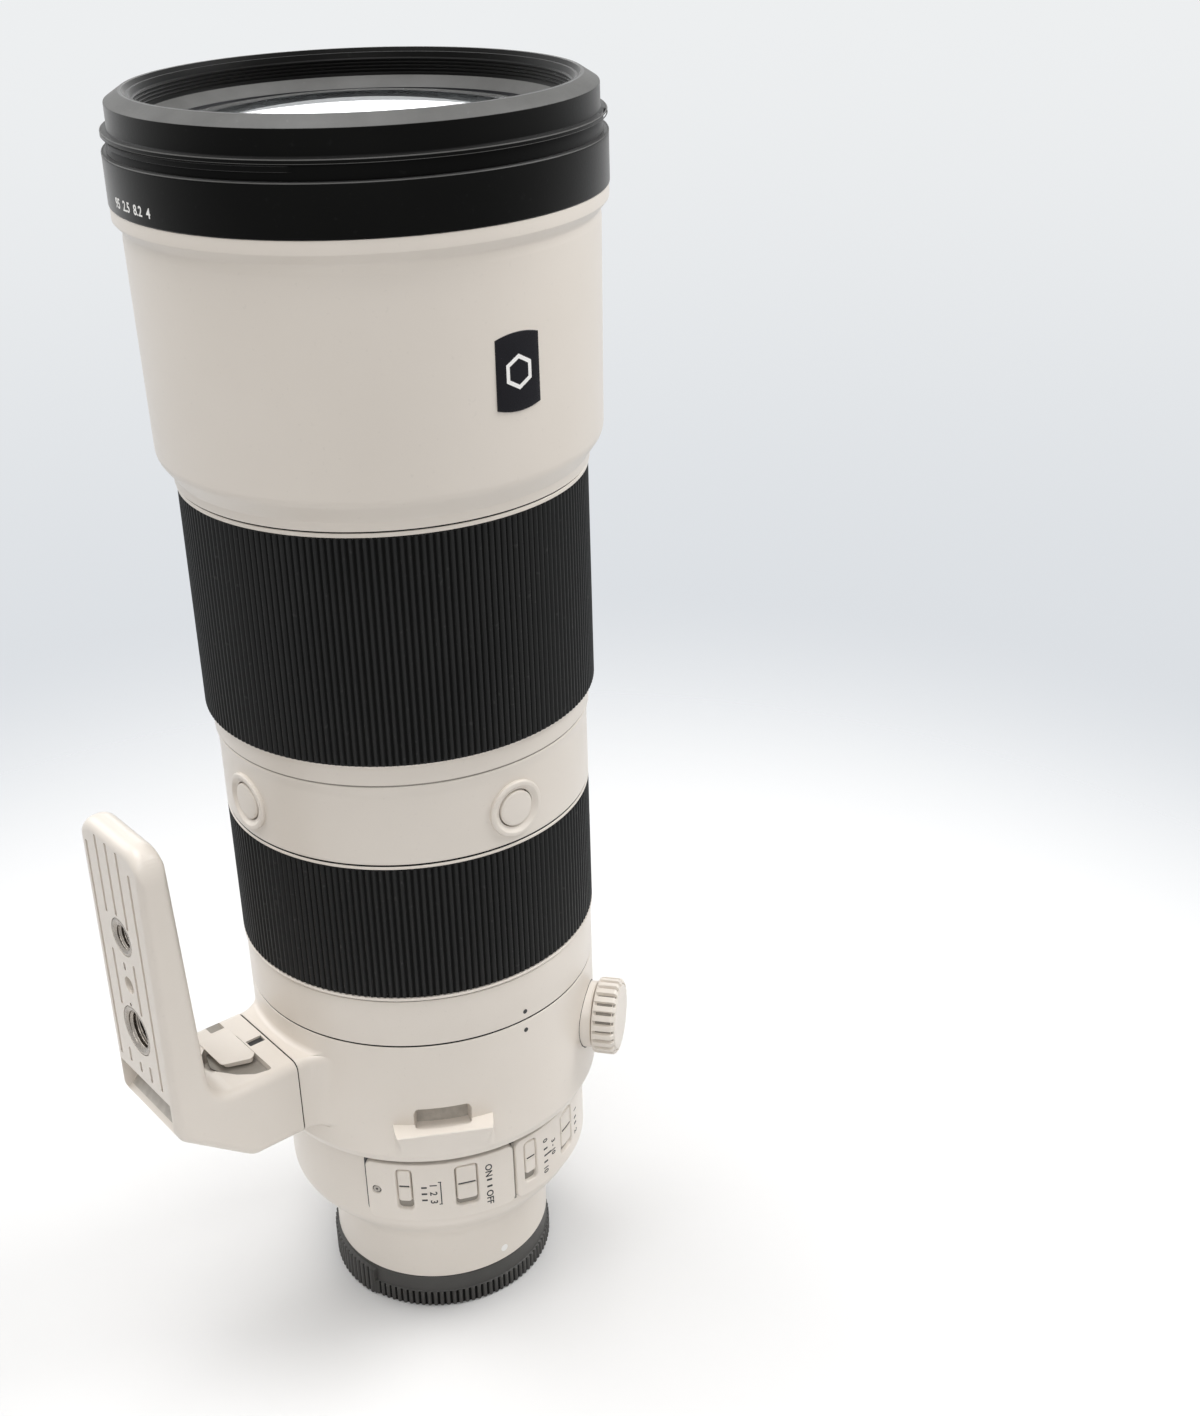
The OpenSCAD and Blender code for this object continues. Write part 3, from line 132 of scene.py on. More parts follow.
# Coated surfaces: two close colours in soft clouds, grain in roughness, fine bumps and specks; sizes in millimetres
coatedShader = {"Coat Roughness": 0.2, "Sheen Roughness": 0.35}
coatedColumns = ("colour", "second", "speckColour", "cloudSize", "grainSize", "speckSize", "speckLevel", "rough",
                 "roughSpread", "bump", "bumpDepth", "shader")
coated = {
    "whitePaint": ((0.735, 0.678, 0.612), (0.712, 0.655, 0.588), (0.45, 0.42, 0.38),
                   50, 0.7, 1.1, 0.10, 0.42, 0.10, 0.18, 0.04, {"Coat Weight": 0.30}),
    "whitePlastic": ((0.745, 0.690, 0.625), (0.720, 0.665, 0.600), (0.45, 0.42, 0.38),
                     20, 0.5, 0.9, 0.10, 0.38, 0.08, 0.12, 0.03, {}),
    "blackPaint": ((0.0022, 0.0022, 0.0020), (0.0032, 0.0032, 0.0029), (0.015, 0.015, 0.015),
                   30, 0.5, 1.2, 0.25, 0.42, 0.12, 0.25, 0.04, {"Specular IOR Level": 0.05, "Sheen Weight": 0.35}),
    "blackPlastic": ((0.044, 0.042, 0.039), (0.058, 0.056, 0.052), (0.07, 0.068, 0.064),
                     12, 0.4, 1.0, 0.35, 0.50, 0.15, 0.35, 0.05, {}),
    "blackMetal": ((0.020, 0.020, 0.022), (0.028, 0.028, 0.031), (0.05, 0.05, 0.05),
                   20, 0.4, 1.0, 0.2, 0.40, 0.10, 0.2, 0.03, {"Metallic": 0.4}),
    "ribRubber": ((0.0055, 0.0057, 0.0055), (0.0085, 0.0087, 0.0083), (0.035, 0.035, 0.034),
                  20, 0.6, 1.6, 0.5, 0.52, 0.15, 0.3, 0.05, {"Specular IOR Level": 0.24}),
    # shadedPaint: painted shade, for gaps, window floors, slot floors and hollows
    "shadedPaint": ((0.30, 0.275, 0.240), (0.25, 0.230, 0.200), (0.16, 0.15, 0.14),
                    6, 0.5, 0.9, 0.10, 0.55, 0.1, 0.12, 0.03, {}),
    # grey of the screw heads, also used as painted shade on the slot backs and in the heel pocket
    "screwPaint": ((0.50, 0.465, 0.42), (0.42, 0.39, 0.35), (0.25, 0.24, 0.22),
                   2, 0.3, 0.6, 0.2, 0.4, 0.1, 0.1, 0.02, {}),
    # paler black: painted highlight on the hood ring's ledge, chamfer and edges
    "ledgePaint": ((0.062, 0.061, 0.058), (0.050, 0.049, 0.046), (0.12, 0.12, 0.115),
                   10, 0.5, 1.0, 0.2, 0.55, 0.1, 0.15, 0.03, {}),
    # black for print, also used as painted shade in gaps, bores, slots and round the screws
    "blackInk": ((0.020, 0.020, 0.020), (0.030, 0.030, 0.030), (0.08, 0.08, 0.078),
                 4, 0.4, 0.6, 0.3, 0.5, 0.1, 0.1, 0.02, {}),
    "whiteInk": ((0.88, 0.87, 0.85), (0.83, 0.82, 0.80), (0.5, 0.49, 0.47),
                 4, 0.4, 0.6, 0.2, 0.45, 0.1, 0.1, 0.02, {}),
    "badgeEnamel": ((0.0035, 0.0028, 0.0050), (0.0055, 0.0048, 0.0075), (0.02, 0.02, 0.02),
                    10, 0.8, 1.0, 0.05, 0.28, 0.06, 0.05, 0.02, {"Specular IOR Level": 0.2}),
}


def coatedFinish(name, s):
    wire, shader, coords = newFinish(name)
    clouds = wire.cloud(coords, s["cloudSize"], 4.0)
    grain = wire.cloud(coords, s["grainSize"], 2.0)
    specks = wire.between(wire.cloud(coords, s["speckSize"], 1.0), 0.68, 0.8) * s["speckLevel"]
    tone = wire.blendColour(wire.between(clouds, 0.3, 0.7), rgba(s["colour"]), rgba(s["second"]))
    tone = wire.blendColour(specks, tone, rgba(s["speckColour"]))
    rough = s["rough"] + (grain - 0.5) * s["roughSpread"] + (clouds - 0.5) * s["roughSpread"]
    feed(wire, shader, {"Base Color": tone, "Roughness": rough, "Normal": wire.bump(grain, s["bump"], s["bumpDepth"])},
         {**coatedShader, **s["shader"]})


for name, row in coated.items():
    coatedFinish(name, dict(zip(coatedColumns, row)))

# Clear glass with a faint coating colour, and dust that only changes its roughness a little
glass = {"colour": (0.93, 0.97, 0.96), "dustColour": (0.80, 0.82, 0.82), "dustSize": 4, "dustLevel": 0.15,
         "rough": 0.004, "ior": 1.6, "tint": (0.95, 0.92, 1.0)}
wire, shader, coords = newFinish("lensGlass")
dust = wire.between(wire.cloud(coords, glass["dustSize"], 5.0), 0.62, 0.8)
tone = wire.blendColour(dust * glass["dustLevel"], rgba(glass["colour"]), rgba(glass["dustColour"]))
feed(wire, shader, {"Base Color": tone, "Roughness": dust * glass["rough"]}, {
    "IOR": glass["ior"], "Transmission Weight": 1.0, "Specular Tint": rgba(glass["tint"])})

# Bare metals: streaks stretched along one way, in roughness and bumps
metalColumns = ("colour", "second", "stretch", "grainSize", "cloudSize", "bump", "rough")
metals = {
    "plainSteel": ((0.56, 0.56, 0.57), (0.48, 0.48, 0.49), (1, 1, 0.1), 0.6, 4, 0.2, 0.3),
    "brightChrome": ((0.44, 0.40, 0.355), (0.33, 0.295, 0.26), (0.2, 1, 1), 0.5, 3, 0.15, 0.28),
    "goldPlate": ((0.83, 0.62, 0.26), (0.74, 0.54, 0.22), (1, 1, 1), 0.4, 2, 0.1, 0.22),
}


def metalFinish(name, s):
    wire, shader, coords = newFinish(name)
    stretched = wire.make("ShaderNodeMapping", None, {"Vector": coords, "Scale": s["stretch"]})
    streaks = wire.cloud(stretched, s["grainSize"], 4.0)
    tone = wire.blendColour(wire.cloud(coords, s["cloudSize"], 3.0), rgba(s["colour"]), rgba(s["second"]))
    feed(wire, shader, {"Base Color": tone, "Roughness": s["rough"] + (streaks - 0.5) * 0.15,
                        "Normal": wire.bump(streaks, s["bump"], 0.02)}, {"Metallic": 1.0})


for name, row in metals.items():
    metalFinish(name, dict(zip(metalColumns, row)))

# Wound wire or tracks: even waves across one way darken the colour and raise a bump
windings = {
    "copperWire": {"colour": (0.62, 0.30, 0.12), "second": (0.25, 0.10, 0.04), "way": "Z", "scale": 900,
                   "wander": 0.3, "rough": 0.3, "metal": 0.9},
    "circuitBoard": {"colour": (0.035, 0.17, 0.08), "second": (0.02, 0.11, 0.05), "way": "DIAGONAL", "scale": 160,
                     "wander": 6.0, "rough": 0.35, "metal": 0.0},
}
for name, s in windings.items():
    wire, shader, coords = newFinish(name)
    waves = wire.make("ShaderNodeTexWave", {"bands_direction": s["way"]}, {
        "Vector": coords, "Scale": s["scale"], "Distortion": s["wander"]}, out=1)
    tone = wire.blendColour(waves, rgba(s["second"]), rgba(s["colour"]))
    feed(wire, shader, {"Base Color": tone, "Roughness": s["rough"] + waves * 0.1,
                        "Normal": wire.bump(waves, 0.5, 0.1)}, {"Metallic": s["metal"]})

finishOfSlot = {
    "white_paint": "whitePaint", "white_plastic": "whitePlastic", "black_paint": "blackPaint",
    "black_plastic": "blackPlastic", "black_metal": "blackMetal", "rubber": "ribRubber", "glass": "lensGlass",
    "steel": "plainSteel", "chrome": "brightChrome", "gold": "goldPlate", "copper": "copperWire",
    "board": "circuitBoard",
}
for part in frame["record"]["subparts"]:
    nodeObject = frame["nodes"][part["node"]]
    nodeFinish = finishes[finishOfSlot[part["material_slot"]]]
    if len(nodeObject.material_slots) == 0:
        nodeObject.data.materials.append(nodeFinish)
    for holder in nodeObject.material_slots:
        holder.material = nodeFinish
print("materials made and put on the carried-over nodes")


# Path through corners [x, y, radius]: a corner with a radius becomes an arc that touches both edges
def roundedPath(corners, closed=True, arcSteps=5):
    spots = np.array([c[:2] for c in corners], float)
    count = len(spots)
    runs = []
    for i, corner in enumerate(corners):
        radius = corner[2] if len(corner) > 2 else 0
        if radius == 0 or (not closed and i in (0, count - 1)):
            runs.append(spots[i:i + 1])
            continue
        before = spots[i - 1] - spots[i]
        after = spots[(i + 1) % count] - spots[i]
        before, beforeLength = before / np.hypot(*before), np.hypot(*before)
        after, afterLength = after / np.hypot(*after), np.hypot(*after)
        half = 0.5 * math.acos(max(-1, min(1, float(before @ after))))
        cut = min(radius / math.tan(half), 0.49 * beforeLength, 0.49 * afterLength)
        radius = cut * math.tan(half)
        middle = before + after
        centre = spots[i] + middle / np.hypot(*middle) * radius / math.sin(half)
        first = spots[i] + before * cut - centre
        last = spots[i] + after * cut - centre
        start = math.atan2(first[1], first[0])
        sweep = (math.atan2(last[1], last[0]) - start + math.pi) % tau - math.pi
        angles = start + sweep * np.linspace(0, 1, arcSteps + 1)
        runs.append(centre + radius * np.stack([np.cos(angles), np.sin(angles)], -1))
    return np.concatenate(runs)


# Mesh from points in millimetres and faces; doubles at poles are merged and sharp edges kept by angle
def meshPiece(name, points, faces, finish, sharpAngle=35, weld=False):
    mesh = bpy.data.meshes.new(name)
    mesh.from_pydata((np.asarray(points, float).reshape(-1, 3) * mm).tolist(), [], faces)
    if weld:
        work = bmesh.new()
        work.from_mesh(mesh)
        bmesh.ops.remove_doubles(work, verts=work.verts, dist=1e-7)
        work.to_mesh(mesh)
        work.free()
    mesh.validate()
    mesh.shade_smooth()
    mesh.set_sharp_from_angle(angle=math.radians(sharpAngle))
    mesh.materials.append(finishes[finish])
    piece = bpy.data.objects.new(name, mesh)
    scene.collection.objects.link(piece)
    return piece


# Faces of a grid: (u, v), (u+1, v), (u+1, v+1), (u, v+1); either way may run round to its start
def gridFaces(nu, nv, wrapU, wrapV, first=0):
    u = np.arange(nu if wrapU else nu - 1)[:, None]
    v = np.arange(nv if wrapV else nv - 1)[None, :]
    nextU, nextV = (u + 1) % nu, (v + 1) % nv
    quads = np.stack([u * nv + v, nextU * nv + v, nextU * nv + nextV, u * nv + nextV], -1)
    return (quads.reshape(-1, 4) + first).tolist()


# Tube: columns of points run round to their start and stay open at both ends
def tubeFaces(around, rows, first=0):
    return gridFaces(around, rows, True, False, first)


# Ring: a tube whose rows run round as well
def ringFaces(around, rows, first=0):
    return gridFaces(around, rows, True, True, first)


# Loft: a tube closed by a face at both ends
def loftFaces(around, rows, first=0):
    column = np.arange(around) * rows
    ends = [(column[::-1] + first).tolist(), (column + rows - 1 + first).tolist()]
    return tubeFaces(around, rows, first) + ends


# Grids of points one after the other in one list, with the faces of each counted on from the last
def joined(blocks, sides):
    points, faces, first = [], [], 0
    for block in blocks:
        points.append(block.reshape(-1, 3))
        faces += sides(block.shape[0], block.shape[1], first)
        first += len(points[-1])
    return np.concatenate(points), faces


# Says which body a piece moves with and which nodes it stands for
def settle(piece, body, slot, *nodes):
    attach(piece, body)
    if nodes:
        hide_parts(*nodes)
    return piece


# Piece from grids of points that share one kind of faces
def blockPiece(name, blocks, sides, finish, sharpAngle, body, slot, *nodes, weld=False):
    return settle(meshPiece(name, *joined(blocks, sides), finish, sharpAngle, weld), body, slot, *nodes)


# Points turned round an axis from a path of [radius, height]; change may move both by the angle
def turned(path, count, change=None):
    around = np.linspace(0, tau, count, endpoint=False)[:, None]
    radius = np.broadcast_to(path[:, 0], (count, len(path)))
    height = np.broadcast_to(path[:, 1], (count, len(path)))
    if change:
        radius, height = change(around, radius, height)
    return np.stack([radius * np.cos(around), radius * np.sin(around), height], -1)


# Ring on the optical axis from a closed section of [radius, height, corner radius], or from a ready path
def ringPiece(name, section, finish, body, slot, *nodes, turns=288, change=None, sharpAngle=35):
    path = section if isinstance(section, np.ndarray) else roundedPath(section)
    return blockPiece(name, [turned(path, turns, change)], ringFaces, finish, sharpAngle, body, slot, *nodes, weld=True)


# Points on a barrel: across is arc length at the given radius, along is height, out is radial
def onBarrel(local, radius, angle, height):
    turnBy = math.radians(angle) + local[..., 0] / radius
    reach = radius + local[..., 2]
    return np.stack([reach * np.cos(turnBy), reach * np.sin(turnBy), height + local[..., 1]], -1)


# Points of a flat frame whose third axis points out of the barrel at an angle
def outOfBarrel(local, angle, height):
    a = math.radians(angle)
    return np.stack([
        -math.sin(a) * local[..., 0] + math.cos(a) * local[..., 2],
        math.cos(a) * local[..., 0] + math.sin(a) * local[..., 2],
        height + local[..., 1]], -1)


# An outline repeated through rows of [share of its size, height]
def stacked(outline, rows):
    return np.stack([np.column_stack([outline * share, np.full(len(outline), h)]) for share, h in rows], 1)


# Outward normal at each point of an outline, from its two neighbours
def outlineNormals(outline):
    along = np.roll(outline, -1, 0) - np.roll(outline, 1, 0)
    normal = np.stack([along[:, 1], -along[:, 0]], -1)
    return normal / np.maximum(np.hypot(normal[:, 0], normal[:, 1]), 1e-9)[:, None]


# Pad: an outline lofted through steps [inset, height], then drawn in to its middle in even shrinks
def padPoints(outline, steps, shrinks=(0.75, 0.5, 0.25, 0.03)):
    normal = outlineNormals(outline)
    middle = outline.mean(0)
    last = outline - normal * steps[-1][0]
    flat = [outline - normal * inset for inset, _ in steps]
    flat += [middle + (last - middle) * share for share in shrinks]
    heights = [h for _, h in steps] + [steps[-1][1]] * len(shrinks)
    return np.stack([np.column_stack([ring, np.full(len(ring), h)]) for ring, h in zip(flat, heights)], 1)


# Rounded rectangle about a point
def roundedBox(width, height, radius, x=0, y=0, arcSteps=5):
    w, h = width / 2, height / 2
    corners = [(x - w, y - h, radius), (x + w, y - h, radius), (x + w, y + h, radius), (x - w, y + h, radius)]
    return roundedPath(corners, arcSteps=arcSteps)


def circleOutline(radius, count=64):
    angles = np.linspace(0, tau, count, endpoint=False)
    return radius * np.stack([np.cos(angles), np.sin(angles)], -1)


# Closed outline with points added so that no edge is longer than the step
def evenOutline(outline, step):
    ends = np.roll(outline, -1, 0)
    counts = np.maximum(1, np.ceil(np.hypot(*(ends - outline).T) / step).astype(int))
    return np.concatenate([a + (b - a) * (np.arange(n) / n)[:, None] for a, b, n in zip(outline, ends, counts)])


# Smooth step from 0 below low to 1 above high
def smooth(value, low, high):
    t = np.clip((value - low) / (high - low), 0, 1)
    return t * t * (3 - 2 * t)


# Distance inside a rounded rectangle, negative outside
def insideBox(x, y, width, height, radius):
    qx = np.abs(x) - width / 2 + radius
    qy = np.abs(y) - height / 2 + radius
    outer = np.hypot(np.maximum(qx, 0), np.maximum(qy, 0))
    return radius - outer - np.minimum(np.maximum(qx, qy), 0)


# Quarter circle from 0 at the rim to 1 where the distance inside reaches the edge's width
def roundEdge(inside, edge):
    return np.sqrt(np.clip(1 - (1 - np.clip(inside / edge, 0, 1)) ** 2, 0, 1))


# Ribs round a ring: a cosine clipped flat at its top and bottom, from 0 in the groove to 1 on the rib
def ribWave(angles, count, width=0.25, steep=1.15):
    return np.clip(0.5 + width + steep * np.cos(count * angles), 0, 1)


# Degrees away from the middle of a span, and half the span
def offSpan(degrees, span):
    return np.abs((degrees - sum(span) / 2 + 180) % 360 - 180), (span[1] - span[0]) / 2


# Curved plate on a barrel: heights over angle and height as a grid, closed behind by one strip and two ends
def platePiece(name, angles, heights, radius, innerRadius, finish, sharpAngle):
    nu, nv = radius.shape
    allRadius = np.concatenate([radius, np.full((nu, 2), innerRadius)], 1)
    allHeight = np.broadcast_to(np.concatenate([heights, heights[[-1, 0]]]), (nu, nv + 2))
    a = np.radians(angles)[:, None]
    points = np.stack([allRadius * np.cos(a), allRadius * np.sin(a), allHeight], -1)
    rows = np.arange(nv + 2)
    faces = gridFaces(nu, nv + 2, False, True)
    faces += [rows.tolist(), ((nu - 1) * (nv + 2) + rows[::-1]).tolist()]
    return meshPiece(name, points, faces, finish, sharpAngle)


# Rear cap: turned cup with ribs on its lower band, taller over one stretch
rearCap = {
    "radius": 30.35, "ribRise": 0.7, "ribs": 108, "bandTop": 5.0, "tallTop": 9.0, "tallRise": 0.6,
    "tall": (-228, -164), "blur": 0.12, "footFrom": -0.05, "footTo": 0.35, "skin": 0.6,
    "below": [(0, 0), (20, 0), (29.6, 0), (30.1, 0.12), (30.35, 0.3)],
    "levels": [(0.5, 4.7, 5), (4.86, 5.14, 5), (5.4, 8.7, 4), (8.86, 9.14, 5), (9.3, 9.7, 3)],
    "above": [(30.35, 9.95), (30.27, 10.12), (30.1, 10.2), (28.6, 10.2), (28.5, 10.1), (28.5, 1.6), (15, 1.6),
              (0, 1.6)],
}


# True over the tall stretch, drawn in at both ends by the given degrees
def onTallStretch(angles, less=0):
    start, end = rearCap["tall"]
    return (np.degrees(angles) - start - less) % 360 < end - start - 2 * less


def capChange(angles, radius, height):
    s = rearCap
    tall = onTallStretch(angles)
    top = np.where(tall, s["tallTop"], s["bandTop"])
    band = 1 - smooth(height, top - s["blur"], top + s["blur"])
    foot = smooth(height, s["footFrom"], s["footTo"])
    outer = radius > s["radius"] - s["skin"]
    ribs = 0.25 + 0.75 * ribWave(angles, s["ribs"], 0.1)
    return radius + outer * band * foot * (s["ribRise"] * ribs + s["tallRise"] * tall), height


capLevels = np.concatenate([np.linspace(*row) for row in rearCap["levels"]])
capWall = np.column_stack([np.full(len(capLevels), rearCap["radius"]), capLevels])
ringPiece("rearCapShell", np.concatenate([rearCap["below"], capWall, rearCap["above"]]), "blackPlastic",
          "rear_cap", "black_plastic", "rear_cap", turns=864, change=capChange)

# Painted shade in the grooves of the cap's ribs: a dark sleeve that shows there, low all round and taller over the one
# stretch
capShadeSleeve = {"inner": 29.9, "radius": 30.69, "low": 0.45, "high": 4.82, "tallHigh": 8.8, "tallEnd": 1.0}


# Square section of a thin ring between two radii and two heights
def boxSection(inner, outer, low, high):
    return [(inner, low), (outer, low), (outer, high), (inner, high)]


def capShadeSleeveChange(angles, radius, height):
    s, c = capShadeSleeve, rearCap
    tall = onTallStretch(angles, s["tallEnd"])
    radius = radius + c["tallRise"] * tall * (radius > c["radius"])
    return radius, np.where(tall & (height > s["high"] - 0.1), s["tallHigh"], height)


ringPiece("capGrooveShade", boxSection(capShadeSleeve["inner"], capShadeSleeve["radius"], capShadeSleeve["low"], capShadeSleeve["high"]),
          "blackPaint", "rear_cap", "black_plastic", turns=432, change=capShadeSleeveChange)

# Rear barrel: neck, flare on a power of a quarter sine, and the straight body up to the collar
rearBody = {
    "neck": 30.5, "low": 10.5, "flareFrom": 24.0, "flareTo": 40.5, "radius": 40.8, "wall": 2.2, "power": 1.8,
    "top": 62.2, "steps": 40, "boreMore": 0.75,
}


def rearBodyPath(s):
    t = np.linspace(0, 1, s["steps"])
    flare = np.column_stack([
        s["neck"] + (s["radius"] - s["neck"]) * np.sin(t * math.pi / 2) ** s["power"],
        s["flareFrom"] + (s["flareTo"] - s["flareFrom"]) * t])
    bore = s["neck"] - s["wall"] + s["boreMore"]
    return np.concatenate([
        [[bore, s["low"]], [s["neck"] - 0.2, s["low"]], [s["neck"], s["low"] + 0.2]], flare,
        [[s["radius"], s["top"] - 0.1], [s["radius"] - 0.1, s["top"]], [s["radius"] - s["wall"], s["top"]]],
        flare[::-1] - [s["wall"], 0], [[bore, s["flareFrom"] - 1]]])


ringPiece("rearBarrelShell", rearBodyPath(rearBody), "whitePaint", "lens_barrel", "white_paint", "rear_barrel")

# Switch panels: the plate's height falls at its rounded edge, and sinks in the windows and the screw hole
panels = {
    "base": 40.8, "top": 42.3, "low": 41.0, "high": 60.5, "corner": 2.2, "edge": 0.45,
    "windowLow": 45.2, "windowHigh": 58.6, "windowDepth": 1.25, "windowCorner": 1.3, "chamfer": 0.22,
    "screwZ": 51.0, "screwRadius": 1.3, "screwDepth": 0.55, "across": 330, "along": 150,
}
panelSets = {
    "leftPanelPlate": {"span": (-150.3, -94.25), "switches": ("mode_switch", "stabiliser_switch"), "screw": -146.3,
                       "node": "left_switch_panel"},
    "rightPanelPlate": {"span": (-93.75, -37.7), "switches": ("range_switch", "focus_mode_switch"), "screw": -41.7,
                        "node": "right_switch_panel"},
}
switches = {
    "mode_switch": {"angle": -135.7, "window": 4.3, "length": 10.4},
    "stabiliser_switch": {"angle": -113.0, "window": 6.3, "length": 11.1},
    "range_switch": {"angle": -86.8, "window": 4.3, "length": 10.4},
    "focus_mode_switch": {"angle": -65.3, "window": 6.3, "length": 11.1},
}
perDegree = math.radians(1) * panels["top"]
windowMiddle = (panels["windowLow"] + panels["windowHigh"]) / 2
windowTall = panels["windowHigh"] - panels["windowLow"]


def panelPiece(name, row):
    s, span = panels, row["span"]
    angles = np.linspace(span[0], span[1], s["across"])
    heights = np.linspace(s["low"], s["high"], s["along"])
    a, z = angles[:, None], heights[None, :]
    inside = insideBox((a - sum(span) / 2) * perDegree, z - (s["low"] + s["high"]) / 2, (span[1] - span[0]) * perDegree,
                       s["high"] - s["low"], s["corner"])
    rise = (s["top"] - s["base"]) * roundEdge(inside, s["edge"])
    radius = s["base"] - 0.1 + rise + 0.1 * (inside > 0)
    for key in row["switches"]:
        w = switches[key]
        depth = insideBox((a - w["angle"]) * perDegree, z - windowMiddle, w["window"], windowTall, s["windowCorner"])
        radius = radius - s["windowDepth"] * smooth(depth, -0.05, 0.1)
        radius = radius - s["chamfer"] * smooth(depth, -0.4, 0.0) * (depth < 0.05)
    hole = s["screwRadius"] - np.hypot((a - row["screw"]) * perDegree, z - s["screwZ"])
    radius = radius - s["screwDepth"] * smooth(hole, -0.1, 0.1)
    settle(platePiece(name, angles, heights, radius, s["base"] - 0.4, "whitePaint", 50),
           "lens_barrel", "white_paint", row["node"])


for name, row in panelSets.items():
    panelPiece(name, row)

# Thin bands bent to the barrel, each from boxes of [angle, height, width, length, corner] at a radius
bandStep, bandDeep = 0.8, -0.3


def bandPiece(name, boxes, radius, rise, finish, body="lens_barrel"):
    blocks = []
    for angle, z, width, tall, corner in boxes:
        outline = evenOutline(roundedBox(width, tall, corner), bandStep)
        rows = ((1, bandDeep), (1, rise), (0.6, rise), (0.2, rise))
        blocks.append(onBarrel(stacked(outline, rows), radius, angle, z))
    blockPiece(name, blocks, loftFaces, finish, 40, body, "black_paint")


# Painted shade: a dark band under each panel that shows past its sides and its top where the gaps lie in shadow, a grey
# band in the seam between the panels, and a grey floor in each window
panelShadeLine = {"past": 0.7, "above": 1.7, "corner": 2.9, "low": 40.78, "rise": 0.2}
panelSeamShade = {"box": (-94.0, 50.75, 0.7, 19.0, 0.2), "radius": 41.45, "rise": 0.1}
windowShadeFloor = {"radius": 40.98, "rise": 0.12, "room": 0.1, "corner": 1.2}


def spanBox(span, s, shadeLine):
    width = math.radians(span[1] - span[0]) * s["base"] + 2 * shadeLine["past"]
    middle = (s["low"] + s["high"] + shadeLine["above"]) / 2
    return sum(span) / 2, middle, width, s["high"] - s["low"] + shadeLine["above"], shadeLine["corner"]


bandPiece("panelEdgeShade", [spanBox(row["span"], panels, panelShadeLine) for row in panelSets.values()],
          panelShadeLine["low"], panelShadeLine["rise"], "blackInk")
bandPiece("panelSeamShade", [panelSeamShade["box"]], panelSeamShade["radius"], panelSeamShade["rise"], "shadedPaint")
shadeFloorRoom = 2 * windowShadeFloor["room"]
shadeFloorBoxes = [(w["angle"], windowMiddle, w["window"] - shadeFloorRoom, windowTall - shadeFloorRoom, windowShadeFloor["corner"])
              for w in switches.values()]
bandPiece("windowShadeFloors", shadeFloorBoxes, windowShadeFloor["radius"], windowShadeFloor["rise"], "shadedPaint")

# Slide knobs: a rounded pad with a thin dark strip across its middle, painted shade of a groove, and a raised ridge
# under the strip
knobShape = {"gap": 0.3, "face": 42.18, "base": 41.12, "edge": 0.35, "corner": 0.9, "ridge": 0.3, "ridgeFade": 0.4,
             "shadeLineTall": 0.42, "shadeLineShort": 1.0, "shadeLineCorner": 0.1, "shadeLineRise": 0.04}


def slideKnob(node, w):
    s = knobShape
    width = w["window"] - 2 * s["gap"]
    top = panels["windowHigh"] - s["gap"]
    middle = top - w["length"] / 2
    angles = w["angle"] + np.linspace(-0.5, 0.5, 44) * width / perDegree
    heights = np.unique(np.concatenate([
        np.linspace(top - w["length"], top, 60), middle + np.linspace(-1.0, 1.2, 45)]))
    a, z = angles[:, None], heights[None, :]
    inside = insideBox((a - w["angle"]) * perDegree, z - middle, width, w["length"], s["corner"])
    radius = s["face"] - (s["face"] - s["base"]) * (1 - roundEdge(inside, s["edge"]))
    ridge = smooth(z - middle, -0.75, -0.45) - smooth(z - middle, -0.3, -0.2)
    radius = radius + np.clip(inside / s["ridgeFade"], 0, 1) * s["ridge"] * ridge
    name = node.replace("_s", "S").replace("_m", "M") + "Knob"
    # dark strip across the knob: painted shade
    shadeLine = (w["angle"], middle, width - s["shadeLineShort"], s["shadeLineTall"], s["shadeLineCorner"])
    bandPiece(name + "Line", [shadeLine], s["face"], s["shadeLineRise"], "blackInk", node)
    settle(platePiece(name, angles, heights, radius, s["base"] - 0.1, "whitePlastic", 40), node, "white_plastic", node)


for node, w in switches.items():
    slideKnob(node, w)

# Panel screws: a low turned head with a round socket, over a dark floor that shows as a ring round it, painted shade of
# the hole
screwHead = {"around": 40, "head": [(0, 41.4), (0.98, 41.4), (0.98, 41.98), (0.86, 42.12), (0.42, 42.14), (0.36, 42.08),
                                    (0.36, 41.8), (0, 41.8)],
             "floor": [(0, 41.3), (1.27, 41.3), (1.27, 41.86), (0, 41.86)]}


def screwBlocks(profile):
    local = turned(np.array(profile), screwHead["around"])
    return [outOfBarrel(local, row["screw"], panels["screwZ"]) for row in panelSets.values()]


blockPiece("panelScrewHeads", screwBlocks(screwHead["head"]), tubeFaces, "screwPaint", 40,
           "lens_barrel", "steel", "panel_screws", weld=True)
blockPiece("panelScrewShadeRings", screwBlocks(screwHead["floor"]), tubeFaces, "blackInk", 40,
           "lens_barrel", "black_paint", weld=True)
print("rear barrel, panels and knobs made")

